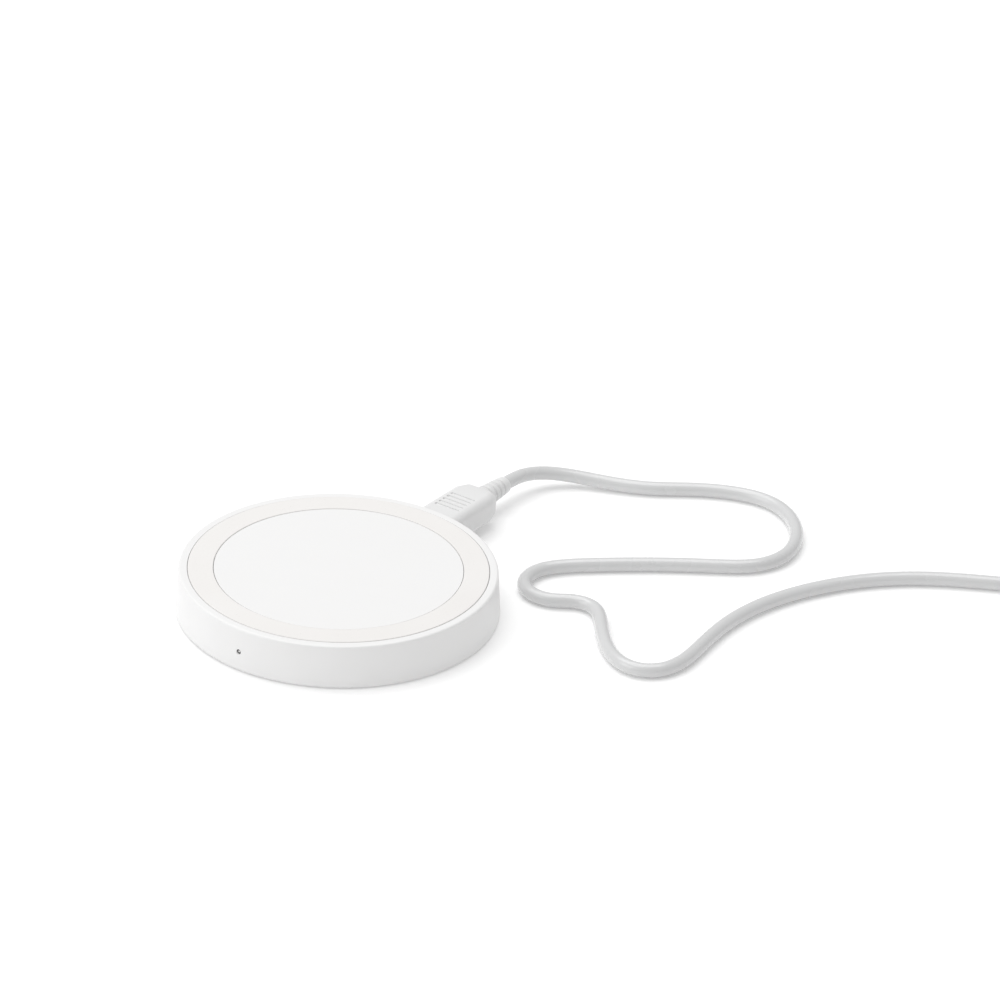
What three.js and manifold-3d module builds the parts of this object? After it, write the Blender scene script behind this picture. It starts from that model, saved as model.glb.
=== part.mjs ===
// A round wireless charging pad with its detachable supply cable.
// Millimetres, +Z up. The origin is at the middle of the pad's foot, on the surface that it stands on.
// The cable's socket faces +Y and the indicator hole faces -Y.
import * as THREE from "three";
import { NURBSCurve } from "three/addons/curves/NURBSCurve.js";
import { mergeVertices } from "three/addons/utils/BufferGeometryUtils.js";
import Module from "manifold-3d";

const wasm = await Module();
wasm.setup();

// ---- Housing sizes ----
const PAD_HEIGHT = 10; // from the table to the grip ring's top
const BASE_RADIUS = 35; // the skirt at its foot
const DRAFT = 0.6; // how much narrower the skirt is at its top
const EDGE_ROUND = 0.8; // the rim's outer edge
const FOOT_CHAMFER = 0.25; // the skirt's lower edge
const SKIRT_WALL = 1.5;
const FOOT_STAND = 0.35; // the skirt's clearance over the table
const FACE_DROP = 0.1; // the centre face and the rim lie this far under the grip ring's top
const FACE_PLATE = 1.3; // the centre face's thickness
const GRIP_INNER = 26.9;
const GRIP_OUTER = 32.4;
const GRIP_DEPTH = 0.9; // the groove that the grip ring sits in
const GROOVE_FLOOR = 1.0; // the plate left under the groove
const SEAM = 0.18; // the visible gap on both sides of the grip ring
const GLUE = 0.1; // an adhesive film, left as a gap

// ---- Base sizes ----
const LID_GAP = 0.2; // between the skirt and the bottom cover
const BASE_PLATE = 1.5;
const LIP_WALL = 0.9; // the bottom cover's locating lip
const LIP_HEIGHT = 1.15;
const LIP_DRAFT_GAP = 0.3; // the lip stands this far in from the plate's edge
const FOOT_INNER = 24.6;
const FOOT_OUTER = 31.4;
const FOOT_SINK = 0.6; // the recess that the foot ring sits in
const FOOT_GAP = 0.2;

// ---- Fasteners ----
const SCREWS = 4;
const SCREW_CIRCLE = 29;
const BOSS_RADIUS = 2.3;
const PILLAR_RADIUS = 2.6;
const PILLAR_HEIGHT = 1.95; // over the foot recess's floor
const PILOT_RADIUS = 0.7;
const PILOT_DEPTH = 4.4;
const BORE_RADIUS = 1.05;
const HEAD_RADIUS = 1.55;
const HEAD_HEIGHT = 0.9;
const HEAD_CLEARANCE = 0.2;
const SHANK_RADIUS = 0.6;
const SHANK_LENGTH = 4.8;
const CROSS_WIDTH = 0.4;
const CROSS_LENGTH = 1.7;
const CROSS_DEPTH = 0.5;
const STACK_GAP = 0.3; // between a boss and its pillar

// ---- Electronics ----
const FERRITE_CLEARANCE = 0.2; // between the ferrite and the tallest piece on the board
const BOARD_THICK = 1;
const BOARD_RADIUS = 31;
const NOTCH_CLEARANCE = 0.6;
const POST_OFFSET = 27.6; // the board's two locating posts, on the X axis
const POST_RADIUS = 1.5;
const POST_PIN_RADIUS = 0.75;
const POST_PIN_CLEARANCE = 0.2;
const SOLDER = 0.1; // solder under a chip, left as a gap
const COIL_WIRE = 1.2; // litz bundle of the transmitter coil
const COIL_PITCH = 1.3;
const COIL_INNER = 11; // middle of the first turn
const COIL_TURNS = 9;
const FILM = 0.2; // adhesive disc over the coil
const COIL_POCKET_CLEARANCE = 1.82; // round the film, in the cover's pocket under the face
const FERRITE_RADIUS = 25;
const FERRITE_THICK = 1;
const FERRITE_NOTCH = 3; // edge notch that the coil's leads pass through
const LEAD_WIRE = 0.8;
const LEAD_PAD = 2; // length of a lead's end that lies on the board
const CHIP = { side: 5, height: 0.85 };
const BRIDGE = { side: 3.3, height: 1 };
const CAPACITOR = { length: 3.2, width: 2.5, height: 1.8 };
const INDUCTOR = { side: 4.2, height: 2 };
const LED = { width: 2, depth: 1.6, height: 1.7 };

// ---- Indicator ----
const INDICATOR_HOLE = 0.55; // radius
const PIPE_CLEARANCE = 0.1;
const PIPE_RECESS = 0.35; // the light pipe's end lies this far inside the hole
const PIPE_FLANGE = 1.1;
const PIPE_FLANGE_THICK = 0.7;

// ---- Socket and the cable's plug that fits it ----
const PLUG = { width: 6.85, height: 1.8, chamfer: 0.75, wall: 0.25, reach: 5 };
const PLUG_PLAY = 0.12; // between the plug's shell and the socket's
const PLUG_END_GAP = 0.3; // between the plug's tip and the socket's insulator
const SOCKET_WALL = 0.25;
const SOCKET_SINK = 0.25; // the socket's mouth lies this far inside the skirt's face
const SOCKET_BLOCK = 0.7; // the insulator behind the tongue
const TONGUE = { width: 4.4, height: 0.6, length: 3.5 };
const APERTURE_CLEARANCE = 0.3;
const TAB_WIDTH = 9; // the board's tab under the socket
const TAB_WALL_GAP = 0.3; // between the tab's corners and the skirt
const TAB_CLEARANCE = 0.5; // round the tab, in the bottom cover's lip

// ---- Cable ----
const GRIP = { width: 10.6, height: 6.8, length: 18, corner: 2, bevel: 0.6 };
const GRIP_STAND = 0.3; // between the plug's grip and the skirt
const GRIP_POCKET = 2; // how far a metal shell goes into its grip
const POCKET_CLEARANCE = 0.1;
const RELIEF = { start: 2.6, end: 1.95, length: 9, ribs: 3, ribGap: 0.8, ribDepth: 0.45 };
const CORD = 3.1; // diameter
const TABLE_LIFT = 0.05; // the cord's underside lies this far over the table
const JOINT_GAP = 0.3; // between pieces that meet face to face
const CORD_SIDES = 8;
const WIND_RADIUS = 17.6; // middle of the stored coil's turns
const WIND_COLUMNS = 3;
const WIND_LAYERS = 2;
const TIE = { wall: 0.4, width: 6, clearance: 0.3, turn: -115 };
const TAIL = 20; // free cord between the stored coil and the far plug
const TAIL_TURN = 10; // where the tail leaves the coil, in degrees from +X

// ---- Far plug ----
const FAR_GRIP = { width: 15.4, height: 7.8, length: 28, corner: 2.2, bevel: 0.8 };
const FAR_SHELL = { width: 12, height: 4.5, wall: 0.3, reach: 18.75 };
const FAR_WINDOW = { side: 2.3, spread: 5.2, back: 6.2 };
const FAR_TONGUE = { width: 11, height: 1.8, end: 1.2 };
const FAR_CONTACT = { width: 1.1, height: 0.2, length: 8, pitches: [-3.5, -1, 1, 3.5] };
const FAR_CONTACT_END = 2.2; // a contact starts this far inside the shell's mouth

const ROUND = 64; // sides of a housing circle
const FINE = 16; // sides of a small circle

// The points that shape the cord's middle, from the strain relief to the stored coil, as it lies on the table.
const RESTING = CORD / 2 + TABLE_LIFT;
const CORD_ROUTE = [
  [0, 66, 4.9],
  [0.6, 70.5, 4.4],
  [3.2, 75.6, 3.4],
  [8.6, 79.7, 2.3],
  [16, 82.6, 1.75],
  [23.6, 86.2, RESTING],
  [30.1, 91.8, RESTING],
  [38, 96.5, RESTING],
  [47, 98.8, RESTING],
  [55.4, 95.3, RESTING],
  [61.8, 88, RESTING],
  [64.9, 78.6, RESTING],
  [62, 69.9, RESTING],
  [54, 64.6, RESTING],
  [44, 57.5, RESTING],
  [34, 49, RESTING],
  [28, 43.4, RESTING],
  [25, 38.6, RESTING],
  [25.3, 32.7, RESTING],
  [29.5, 28.8, RESTING],
  [35.2, 28.9, RESTING],
  [38.6, 32, RESTING],
  [42.1, 33.2, RESTING],
  [45.8, 32.3, RESTING],
  [48.6, 29.2, RESTING],
  [54.4, 21.8, RESTING],
  [60.3, 16.9, RESTING],
  [66.3, 15.5, RESTING],
  [71.2, 18.8, RESTING],
  [72.7, 24.8, RESTING],
  [71.8, 32.6, RESTING],
  [70.4, 43, RESTING],
  [71.3, 55.4, RESTING],
  [76, 68.9, RESTING],
  [84.3, 81.8, RESTING],
  [95.4, 91.3, RESTING],
  [107.6, 97.7, RESTING],
];
const ROUTE_END_TURN = 31; // the cord's heading at the end of the route, in degrees from +X
const WIND_APPROACH = 25; // from the route's end to where the cord touches the stored coil

// ---- Heights and radii that follow from the sizes above ----
const faceTop = PAD_HEIGHT - FACE_DROP;
const faceUnder = faceTop - FACE_PLATE;
const grooveFloor = faceTop - GRIP_DEPTH;
const grooveUnder = grooveFloor - GROOVE_FLOOR;
const wallTop = faceTop - EDGE_ROUND;
const recessFloor = FOOT_STAND + FOOT_SINK;
const baseTop = FOOT_STAND + BASE_PLATE;
const pillarTop = recessFloor + PILLAR_HEIGHT;
const bossBottom = pillarTop + STACK_GAP;
const headSeat = recessFloor + HEAD_HEIGHT + HEAD_CLEARANCE;
const baseRadius = BASE_RADIUS - SKIRT_WALL - LID_GAP;
const skirtRadius = (z) => BASE_RADIUS - (DRAFT * (z - FOOT_STAND)) / (wallTop - FOOT_STAND);
const filmTop = faceUnder - GLUE;
const coilMiddle = filmTop - FILM - GLUE - COIL_WIRE / 2;
const ferriteTop = coilMiddle - COIL_WIRE / 2 - GLUE;
const ferriteUnder = ferriteTop - FERRITE_THICK;
const tallest = Math.max(CHIP.height, BRIDGE.height, CAPACITOR.height, INDUCTOR.height);
const boardTop = ferriteUnder - FERRITE_CLEARANCE - tallest - SOLDER;
const boardUnder = boardTop - BOARD_THICK;
const indicatorHeight = boardTop + SOLDER + LED.height / 2;
const socketHeight = boardTop + SOLDER + SOCKET_WALL + PLUG_PLAY + PLUG.height / 2;
const coilOuter = COIL_INNER + COIL_PITCH * COIL_TURNS;
const filmRadius = coilOuter + COIL_WIRE;
const coilPocket = filmRadius + COIL_POCKET_CLEARANCE;
const socketMouth = skirtRadius(socketHeight) - SOCKET_SINK;
const gripFront = skirtRadius(socketHeight) + GRIP_STAND;
const plugTip = gripFront - PLUG.reach;
const socketBack = plugTip - PLUG_END_GAP - SOCKET_BLOCK;
const tabCorner = skirtRadius(boardTop) - SKIRT_WALL - TAB_WALL_GAP;
const tabReach = Math.sqrt(tabCorner ** 2 - (TAB_WIDTH / 2) ** 2);
const reliefFront = gripFront + GRIP.length + JOINT_GAP;
const cordStart = reliefFront + RELIEF.length + JOINT_GAP;
const windLift = TIE.wall + TIE.clearance;
const windOuterTurn = WIND_RADIUS + (CORD * (WIND_COLUMNS - 1)) / 2;
const windOutside = WIND_RADIUS + (CORD * WIND_COLUMNS) / 2;
const windInside = WIND_RADIUS - (CORD * WIND_COLUMNS) / 2;
const windTop = windLift + CORD * WIND_LAYERS;

// ---- Where the stored coil and the far plug lie ----
const heading = (degrees) => {
  const turn = THREE.MathUtils.degToRad(degrees);
  return new THREE.Vector3(Math.cos(turn), Math.sin(turn), 0);
};
const routeEnd = new THREE.Vector3(...CORD_ROUTE.at(-1));
const approach = heading(ROUTE_END_TURN);
const touchDown = routeEnd.clone().addScaledVector(approach, WIND_APPROACH);
const windMiddle = touchDown.clone().addScaledVector(heading(ROUTE_END_TURN - 90), windOuterTurn).setZ(0);
const tailHeading = heading(TAIL_TURN - 90);
const tailStart = windMiddle.clone().addScaledVector(heading(TAIL_TURN), windOuterTurn);
const farPlug = tailStart.clone().addScaledVector(tailHeading, TAIL).setZ(FAR_GRIP.height / 2);
// A straight cord that touches the coil's outer turn enters the coil's outline this far before it.
const clearOfCoil =
  Math.sqrt(windOutside ** 2 - (windOuterTurn - CORD / 2) ** 2) + JOINT_GAP;

// ---- Materials ----
const finish = (color, roughness, metalness = 0) =>
  new THREE.MeshStandardMaterial({ color, roughness, metalness });
const HOUSING_WHITE = finish(0xf5f5f4, 0.45);
const GRIP_SILICONE = finish(0xf3f0eb, 0.7);
const FOOT_SILICONE = finish(0xd9d9d6, 0.8);
const BOARD_GREEN = finish(0x1e5a3a, 0.5);
const COPPER = finish(0xb4693a, 0.35, 1);
const FERRITE_GREY = finish(0x3a3a3c, 0.8);
const FILM_CREAM = finish(0xe8e2cf, 0.6);
const STEEL = finish(0xb9bbbd, 0.3, 1);
const GOLD = finish(0xd8b25a, 0.3, 1);
const CHIP_BLACK = finish(0x1b1b1d, 0.6);
const CERAMIC_TAN = finish(0xb08f63, 0.6);
const CLEAR_ACRYLIC = finish(0xe9f2f2, 0.1);
const INSULATOR_BLACK = finish(0x202022, 0.6);
const CORD_WHITE = finish(0xf1f1f2, 0.4);
const PLUG_WHITE = finish(0xf2f2f1, 0.45);
const TIE_WHITE = finish(0xe9e9e7, 0.8);

// ---- Shape helpers ----
// A closed profile of [radius, height] points turned about Z, with its faces out.
function turned(profile, sides = ROUND) {
  const points = profile.map(([r, z]) => new THREE.Vector2(r, z));
  if (THREE.ShapeUtils.area(points) < 0) points.reverse();
  const onAxis = points.filter((p) => p.x === 0).length === 2;
  if (onAxis) while (points[0].x !== 0 || points.at(-1).x !== 0) points.push(points.shift());
  else points.push(points[0].clone());
  return new THREE.LatheGeometry(points, sides).rotateX(Math.PI / 2);
}

const cylinder = (radius, low, high, sides = FINE) =>
  turned([[0, low], [radius, low], [radius, high], [0, high]], sides);

const washer = (inner, outer, low, high, sides = ROUND) =>
  turned([[inner, low], [outer, low], [outer, high], [inner, high]], sides);

const block = (width, depth, low, high) =>
  new THREE.BoxGeometry(width, depth, high - low).translate(0, 0, (low + high) / 2);

function roundedRectangle(width, height, corner) {
  const [x, y] = [width / 2 - corner, height / 2 - corner];
  const shape = new THREE.Shape();
  shape.absarc(x, y, corner, 0, Math.PI / 2);
  shape.absarc(-x, y, corner, Math.PI / 2, Math.PI);
  shape.absarc(-x, -y, corner, Math.PI, 1.5 * Math.PI);
  shape.absarc(x, -y, corner, 1.5 * Math.PI, 2 * Math.PI);
  return shape;
}

// The small connector's outline, wide at the top with its two lower corners cut, grown all round.
function connectorOutline(grown = 0) {
  const [x, y] = [PLUG.width / 2 + grown, PLUG.height / 2 + grown];
  const cut = PLUG.chamfer + grown * (2 - Math.SQRT2);
  const corners = [[-x, y], [-x, cut - y], [cut - x, -y], [x - cut, -y], [x, cut - y], [x, y]];
  return new THREE.Shape(corners.map(([a, b]) => new THREE.Vector2(a, b)));
}

// An upright outline pushed along +Y, from one place to another, with its middle at a height.
function alongY(shape, from, to, height, bevel = 0) {
  const options = {
    depth: to - from - 2 * bevel,
    bevelEnabled: bevel > 0,
    bevelThickness: bevel,
    bevelSize: bevel,
    bevelOffset: -bevel,
    bevelSegments: 2,
    curveSegments: 4,
  };
  const pushed = new THREE.ExtrudeGeometry(shape, options);
  return pushed.rotateX(Math.PI / 2).translate(0, to - bevel, height);
}

function tube(curve, diameter, steps, sides = CORD_SIDES) {
  const section = new THREE.Shape();
  for (let i = 0; i < sides; i += 1) {
    const turn = (2 * Math.PI * i) / sides;
    const point = [(diameter / 2) * Math.cos(turn), (diameter / 2) * Math.sin(turn)];
    if (i) section.lineTo(...point);
    else section.moveTo(...point);
  }
  return new THREE.ExtrudeGeometry(section, { steps, extrudePath: curve, bevelEnabled: false });
}

// ---- Cutting and joining ----
function solid(geometry) {
  const loose = geometry.index ? geometry.toNonIndexed() : geometry;
  const bare = new THREE.BufferGeometry().setAttribute("position", loose.getAttribute("position"));
  const merged = mergeVertices(bare, 1e-4);
  return new wasm.Manifold(
    new wasm.Mesh({
      numProp: 3,
      vertProperties: merged.getAttribute("position").array,
      triVerts: new Uint32Array(merged.index.array),
    }),
  );
}

function geometryOf(made) {
  const mesh = made.getMesh();
  return new THREE.BufferGeometry()
    .setAttribute("position", new THREE.BufferAttribute(mesh.vertProperties, 3))
    .setIndex(new THREE.BufferAttribute(mesh.triVerts, 1));
}

// The first geometry with the added ones joined on and then the cut ones taken out.
function carved(base, { add = [], cut = [] }) {
  const joined = add.reduce((made, piece) => made.add(solid(piece)), solid(base));
  return geometryOf(cut.reduce((made, piece) => made.subtract(solid(piece)), joined));
}

// ---- Assembly helpers ----
const pad = new THREE.Group();
const cable = new THREE.Group();

function place(group, name, geometry, material, position = [0, 0, 0], turn = 0) {
  const mesh = new THREE.Mesh(geometry, material);
  mesh.name = name;
  mesh.position.set(...position);
  mesh.rotation.z = THREE.MathUtils.degToRad(turn);
  group.add(mesh);
}

const screwPlaces = Array.from({ length: SCREWS }, (_, i) => {
  const turn = (2 * Math.PI * (i + 0.5)) / SCREWS;
  return [SCREW_CIRCLE * Math.cos(turn), SCREW_CIRCLE * Math.sin(turn), 0];
});
const atScrews = (make) => screwPlaces.map((at) => make().translate(...at));
const atPosts = (make) => [-1, 1].map((side) => make().translate(side * POST_OFFSET, 0, 0));

// ---- Housing ----
function topCover() {
  const round = Array.from({ length: 5 }, (_, i) => {
    const turn = (Math.PI / 2) * (i / 4);
    const middle = BASE_RADIUS - DRAFT - EDGE_ROUND;
    return [middle + EDGE_ROUND * Math.cos(turn), wallTop + EDGE_ROUND * Math.sin(turn)];
  });
  const shell = turned([
    [BASE_RADIUS - SKIRT_WALL, FOOT_STAND],
    [BASE_RADIUS - FOOT_CHAMFER, FOOT_STAND],
    [BASE_RADIUS, FOOT_STAND + FOOT_CHAMFER],
    ...round,
    [GRIP_OUTER + SEAM, faceTop],
    [GRIP_OUTER + SEAM, grooveFloor],
    [GRIP_INNER - SEAM, grooveFloor],
    [GRIP_INNER - SEAM, faceTop],
    [0, faceTop],
    [0, faceUnder],
    [coilPocket, faceUnder],
    [coilPocket, grooveUnder],
    [skirtRadius(grooveUnder) - SKIRT_WALL, grooveUnder],
  ]);
  const socketBody = SOCKET_WALL + PLUG_PLAY + APERTURE_CLEARANCE;
  return carved(shell, {
    add: atScrews(() => cylinder(BOSS_RADIUS, bossBottom, grooveUnder + GROOVE_FLOOR / 2)),
    cut: [
      ...atScrews(() => cylinder(PILOT_RADIUS, bossBottom - 1, bossBottom + PILOT_DEPTH, 12)),
      alongY(connectorOutline(socketBody), socketBack, BASE_RADIUS + 1, socketHeight),
      cylinder(INDICATOR_HOLE, 0, BASE_RADIUS + 1, 16)
        .rotateX(Math.PI / 2)
        .translate(0, 0, indicatorHeight),
    ],
  });
}

const gripRing = () => washer(GRIP_INNER, GRIP_OUTER, grooveFloor + GLUE, PAD_HEIGHT);

function bottomCover() {
  const lipOuter = baseRadius - LIP_DRAFT_GAP;
  const plate = turned([
    [0, FOOT_STAND],
    [FOOT_INNER - FOOT_GAP, FOOT_STAND],
    [FOOT_INNER - FOOT_GAP, recessFloor],
    [FOOT_OUTER + FOOT_GAP, recessFloor],
    [FOOT_OUTER + FOOT_GAP, FOOT_STAND],
    [baseRadius, FOOT_STAND],
    [baseRadius, baseTop],
    [lipOuter, baseTop],
    [lipOuter, baseTop + LIP_HEIGHT],
    [lipOuter - LIP_WALL, baseTop + LIP_HEIGHT],
    [lipOuter - LIP_WALL, baseTop],
    [0, baseTop],
  ]);
  const postTop = boardUnder - GLUE;
  const tabGap = TAB_WIDTH + 2 * TAB_CLEARANCE;
  return carved(plate, {
    add: [
      ...atScrews(() => cylinder(PILLAR_RADIUS, recessFloor, pillarTop)),
      ...atPosts(() => cylinder(POST_RADIUS, recessFloor + 0.2, postTop, 16)),
      ...atPosts(() => cylinder(POST_PIN_RADIUS, postTop - 0.2, boardTop + 0.4, 16)),
    ],
    cut: [
      ...atScrews(() => cylinder(HEAD_RADIUS + HEAD_CLEARANCE, 0, headSeat)),
      ...atScrews(() => cylinder(BORE_RADIUS, 0, pillarTop + 1, 12)),
      block(tabGap, BASE_RADIUS, baseTop + GLUE, PAD_HEIGHT).translate(0, lipOuter, 0),
    ],
  });
}

const footRing = () => washer(FOOT_INNER, FOOT_OUTER, 0, recessFloor - GLUE);

function screw() {
  const headBottom = headSeat - GLUE - HEAD_HEIGHT;
  const headTop = headBottom + HEAD_HEIGHT;
  const body = turned([
    [0, headBottom],
    [HEAD_RADIUS, headBottom],
    [HEAD_RADIUS, headTop],
    [SHANK_RADIUS, headTop],
    [SHANK_RADIUS, headTop + SHANK_LENGTH - SHANK_RADIUS],
    [0, headTop + SHANK_LENGTH],
  ], 16);
  const slot = [headBottom - 1, headBottom + CROSS_DEPTH];
  return carved(body, {
    cut: [block(CROSS_LENGTH, CROSS_WIDTH, ...slot), block(CROSS_WIDTH, CROSS_LENGTH, ...slot)],
  });
}

// ---- Electronics ----
function board() {
  const disc = cylinder(BOARD_RADIUS, boardUnder, boardTop, ROUND);
  const tab = block(TAB_WIDTH, tabReach / 2, boardUnder, boardTop).translate(0, tabReach * 0.75, 0);
  const high = boardTop + 1;
  return carved(disc, {
    add: [tab],
    cut: [
      ...atScrews(() => cylinder(PILLAR_RADIUS + NOTCH_CLEARANCE, 0, high)),
      ...atPosts(() => cylinder(POST_PIN_RADIUS + POST_PIN_CLEARANCE, 0, high, 16)),
    ],
  });
}

class FlatSpiral extends THREE.Curve {
  getPoint(t, target = new THREE.Vector3()) {
    const turn = 2 * Math.PI * COIL_TURNS * t;
    const radius = COIL_INNER + COIL_PITCH * COIL_TURNS * t;
    return target.set(radius * Math.cos(turn), radius * Math.sin(turn), coilMiddle);
  }
}

const transmitterCoil = () => tube(new FlatSpiral(), COIL_WIRE, 16 * COIL_TURNS, 6);
const adhesiveFilm = () => washer(COIL_INNER - COIL_WIRE, filmRadius, filmTop - FILM, filmTop, 48);

function ferriteSheet() {
  const disc = cylinder(FERRITE_RADIUS, ferriteUnder, ferriteTop, 48);
  const notch = block(2 * FERRITE_NOTCH, 2 * FERRITE_NOTCH, 0, PAD_HEIGHT).translate(FERRITE_RADIUS, 0, 0);
  const eye = cylinder(LEAD_WIRE, 0, PAD_HEIGHT, 12).translate(COIL_INNER - COIL_WIRE - LEAD_WIRE, 0, 0);
  return carved(disc, { cut: [notch, eye] });
}

// A coil lead runs from the coil's end, straight down through the ferrite, then along Y to its pad on the board.
function coilLead(start, x, y) {
  const floor = boardTop + LEAD_WIRE / 2 + SOLDER;
  const curve = new THREE.CatmullRomCurve3([
    new THREE.Vector3(start, 0, coilMiddle),
    new THREE.Vector3(x, 0, coilMiddle - LEAD_WIRE),
    new THREE.Vector3(x, 0, ferriteUnder),
    new THREE.Vector3(x, y / 2, THREE.MathUtils.lerp(floor, ferriteUnder, 0.25)),
    new THREE.Vector3(x, y, floor),
    new THREE.Vector3(x, y + Math.sign(y) * LEAD_PAD, floor),
  ]);
  return tube(curve, LEAD_WIRE, 16, 6);
}

const onBoard = (width, depth, height) => block(width, depth, boardTop + SOLDER, boardTop + SOLDER + height);

function socketShell() {
  const outer = connectorOutline(PLUG_PLAY + SOCKET_WALL);
  outer.holes.push(connectorOutline(PLUG_PLAY));
  return alongY(outer, socketBack, socketMouth, socketHeight);
}

function socketTongue() {
  const insulator = connectorOutline(PLUG_PLAY - GLUE);
  const stub = alongY(insulator, socketBack, socketBack + SOCKET_BLOCK, socketHeight);
  const outline = roundedRectangle(TONGUE.width, TONGUE.height, 0.1);
  const tongueEnd = socketBack + SOCKET_BLOCK + TONGUE.length;
  const tongue = alongY(outline, socketBack + SOCKET_BLOCK / 2, tongueEnd, socketHeight);
  return carved(stub, { add: [tongue] });
}

function lightPipe() {
  const tip = skirtRadius(indicatorHeight) - PIPE_RECESS;
  const inside = skirtRadius(indicatorHeight) - SKIRT_WALL - GLUE * 3;
  const slim = INDICATOR_HOLE - PIPE_CLEARANCE;
  const back = BOARD_RADIUS + GLUE;
  const pin = turned([
    [0, back],
    [slim, back],
    [slim, inside - PIPE_FLANGE_THICK],
    [PIPE_FLANGE, inside - PIPE_FLANGE_THICK],
    [PIPE_FLANGE, inside],
    [slim, inside],
    [slim, tip],
    [0, tip],
  ], 16);
  return pin.rotateX(Math.PI / 2).translate(0, 0, indicatorHeight);
}

// ---- Cable pieces ----
function plugShell() {
  const outer = connectorOutline();
  outer.holes.push(connectorOutline(-PLUG.wall));
  return alongY(outer, plugTip, gripFront + GRIP_POCKET - GLUE, socketHeight);
}

function plugGrip() {
  const body = roundedRectangle(GRIP.width, GRIP.height, GRIP.corner);
  const pocket = connectorOutline(POCKET_CLEARANCE);
  return carved(alongY(body, gripFront, gripFront + GRIP.length, socketHeight, GRIP.bevel), {
    cut: [alongY(pocket, gripFront - 1, gripFront + GRIP_POCKET, socketHeight)],
  });
}

// A ribbed cone about Z, from its thick end at 0 to its thin end.
function strainRelief() {
  const radius = (z) => RELIEF.start + ((RELIEF.end - RELIEF.start) * z) / RELIEF.length;
  const pitch = RELIEF.length / (RELIEF.ribs + 1);
  const profile = [[0, 0], [RELIEF.start, 0]];
  for (let i = 1; i <= RELIEF.ribs; i += 1) {
    const [low, high] = [i * pitch - RELIEF.ribGap / 2, i * pitch + RELIEF.ribGap / 2];
    profile.push([radius(low), low], [radius(low) - RELIEF.ribDepth, low]);
    profile.push([radius(high) - RELIEF.ribDepth, high], [radius(high), high]);
  }
  profile.push([RELIEF.end, RELIEF.length], [0, RELIEF.length]);
  return turned(profile, 16);
}

// A smooth curve that starts and ends on the first and last points and is pulled towards the others.
function pulledCurve(points) {
  const degree = 3;
  const spans = points.length - degree;
  const ends = Array(degree).fill(0);
  const knots = [...ends, ...Array.from({ length: spans + 1 }, (_, i) => i), ...ends.map(() => spans)];
  return new NURBSCurve(degree, knots, points.map((point) => new THREE.Vector4(...point, 1)));
}

function cordLead() {
  const coilEntry = touchDown.clone().addScaledVector(approach, -clearOfCoil);
  return tube(
    pulledCurve([
      [0, cordStart, socketHeight],
      ...CORD_ROUTE,
      [coilEntry.x, coilEntry.y, RESTING + windLift / 2],
    ]),
    CORD,
    60,
  );
}

function cordCoil() {
  const corner = CORD / 3;
  return turned([
    [windInside + corner, windLift],
    [windOutside - corner, windLift],
    [windOutside, windLift + corner],
    [windOutside, windTop - corner],
    [windOutside - corner, windTop],
    [windInside + corner, windTop],
    [windInside, windTop - corner],
    [windInside, windLift + corner],
  ], 40);
}

// The strap round the stored coil, pushed along Y, with the coil's middle at the origin.
function coilTie() {
  const low = Math.sqrt(windInside ** 2 - (TIE.width / 2) ** 2) - TIE.clearance;
  const high = windOutside + TIE.clearance;
  const [width, height] = [high - low, CORD * WIND_LAYERS + 2 * TIE.clearance];
  const corner = 1;
  const band = roundedRectangle(width + 2 * TIE.wall, height + 2 * TIE.wall, corner + TIE.wall);
  band.holes.push(roundedRectangle(width, height, corner));
  const middle = height / 2 + TIE.wall;
  return alongY(band, -TIE.width / 2, TIE.width / 2, middle).translate((low + high) / 2, 0, 0);
}

// The free end leaves the coil's upper outer turn and comes down to the far plug.
function cordTail() {
  const along = (distance, height) => tailStart.clone().addScaledVector(tailHeading, distance).setZ(height);
  const upperTurn = windTop - CORD / 2;
  const line = new THREE.LineCurve3(
    along(clearOfCoil, THREE.MathUtils.lerp(upperTurn, farPlug.z, clearOfCoil / TAIL)),
    along(TAIL - JOINT_GAP, farPlug.z),
  );
  return tube(line, CORD, 2);
}

// ---- Far plug pieces, along +Y of their own group, with the cord's end at the group's origin ----
const farGripFrom = RELIEF.length + JOINT_GAP;
const farGripTo = farGripFrom + FAR_GRIP.length;
const farMouth = farGripTo + FAR_SHELL.reach;

function farGrip() {
  const body = roundedRectangle(FAR_GRIP.width, FAR_GRIP.height, FAR_GRIP.corner);
  const clearance = 2 * POCKET_CLEARANCE;
  const pocket = roundedRectangle(FAR_SHELL.width + clearance, FAR_SHELL.height + clearance, 0.4);
  return carved(alongY(body, farGripFrom, farGripTo, 0, FAR_GRIP.bevel), {
    cut: [alongY(pocket, farGripTo - GRIP_POCKET, farGripTo + 1, 0)],
  });
}

function farShell() {
  const { width, height, wall } = FAR_SHELL;
  const outer = roundedRectangle(width, height, 0.4);
  outer.holes.push(roundedRectangle(width - 2 * wall, height - 2 * wall, 0.2));
  const sleeve = alongY(outer, farGripTo - GRIP_POCKET + GLUE, farMouth, 0);
  const windows = [-1, 1].map((side) =>
    block(FAR_WINDOW.side, FAR_WINDOW.side, -height, height).translate(
      (side * FAR_WINDOW.spread) / 2,
      farMouth - FAR_WINDOW.back,
      0,
    ),
  );
  return carved(sleeve, { cut: windows });
}

function farTongue() {
  const inside = FAR_SHELL.height / 2 - FAR_SHELL.wall - GLUE;
  const bar = block(FAR_TONGUE.width, farMouth - FAR_TONGUE.end - farGripTo, inside - FAR_TONGUE.height, inside);
  return bar.translate(0, (farGripTo + farMouth - FAR_TONGUE.end) / 2, 0);
}

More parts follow.
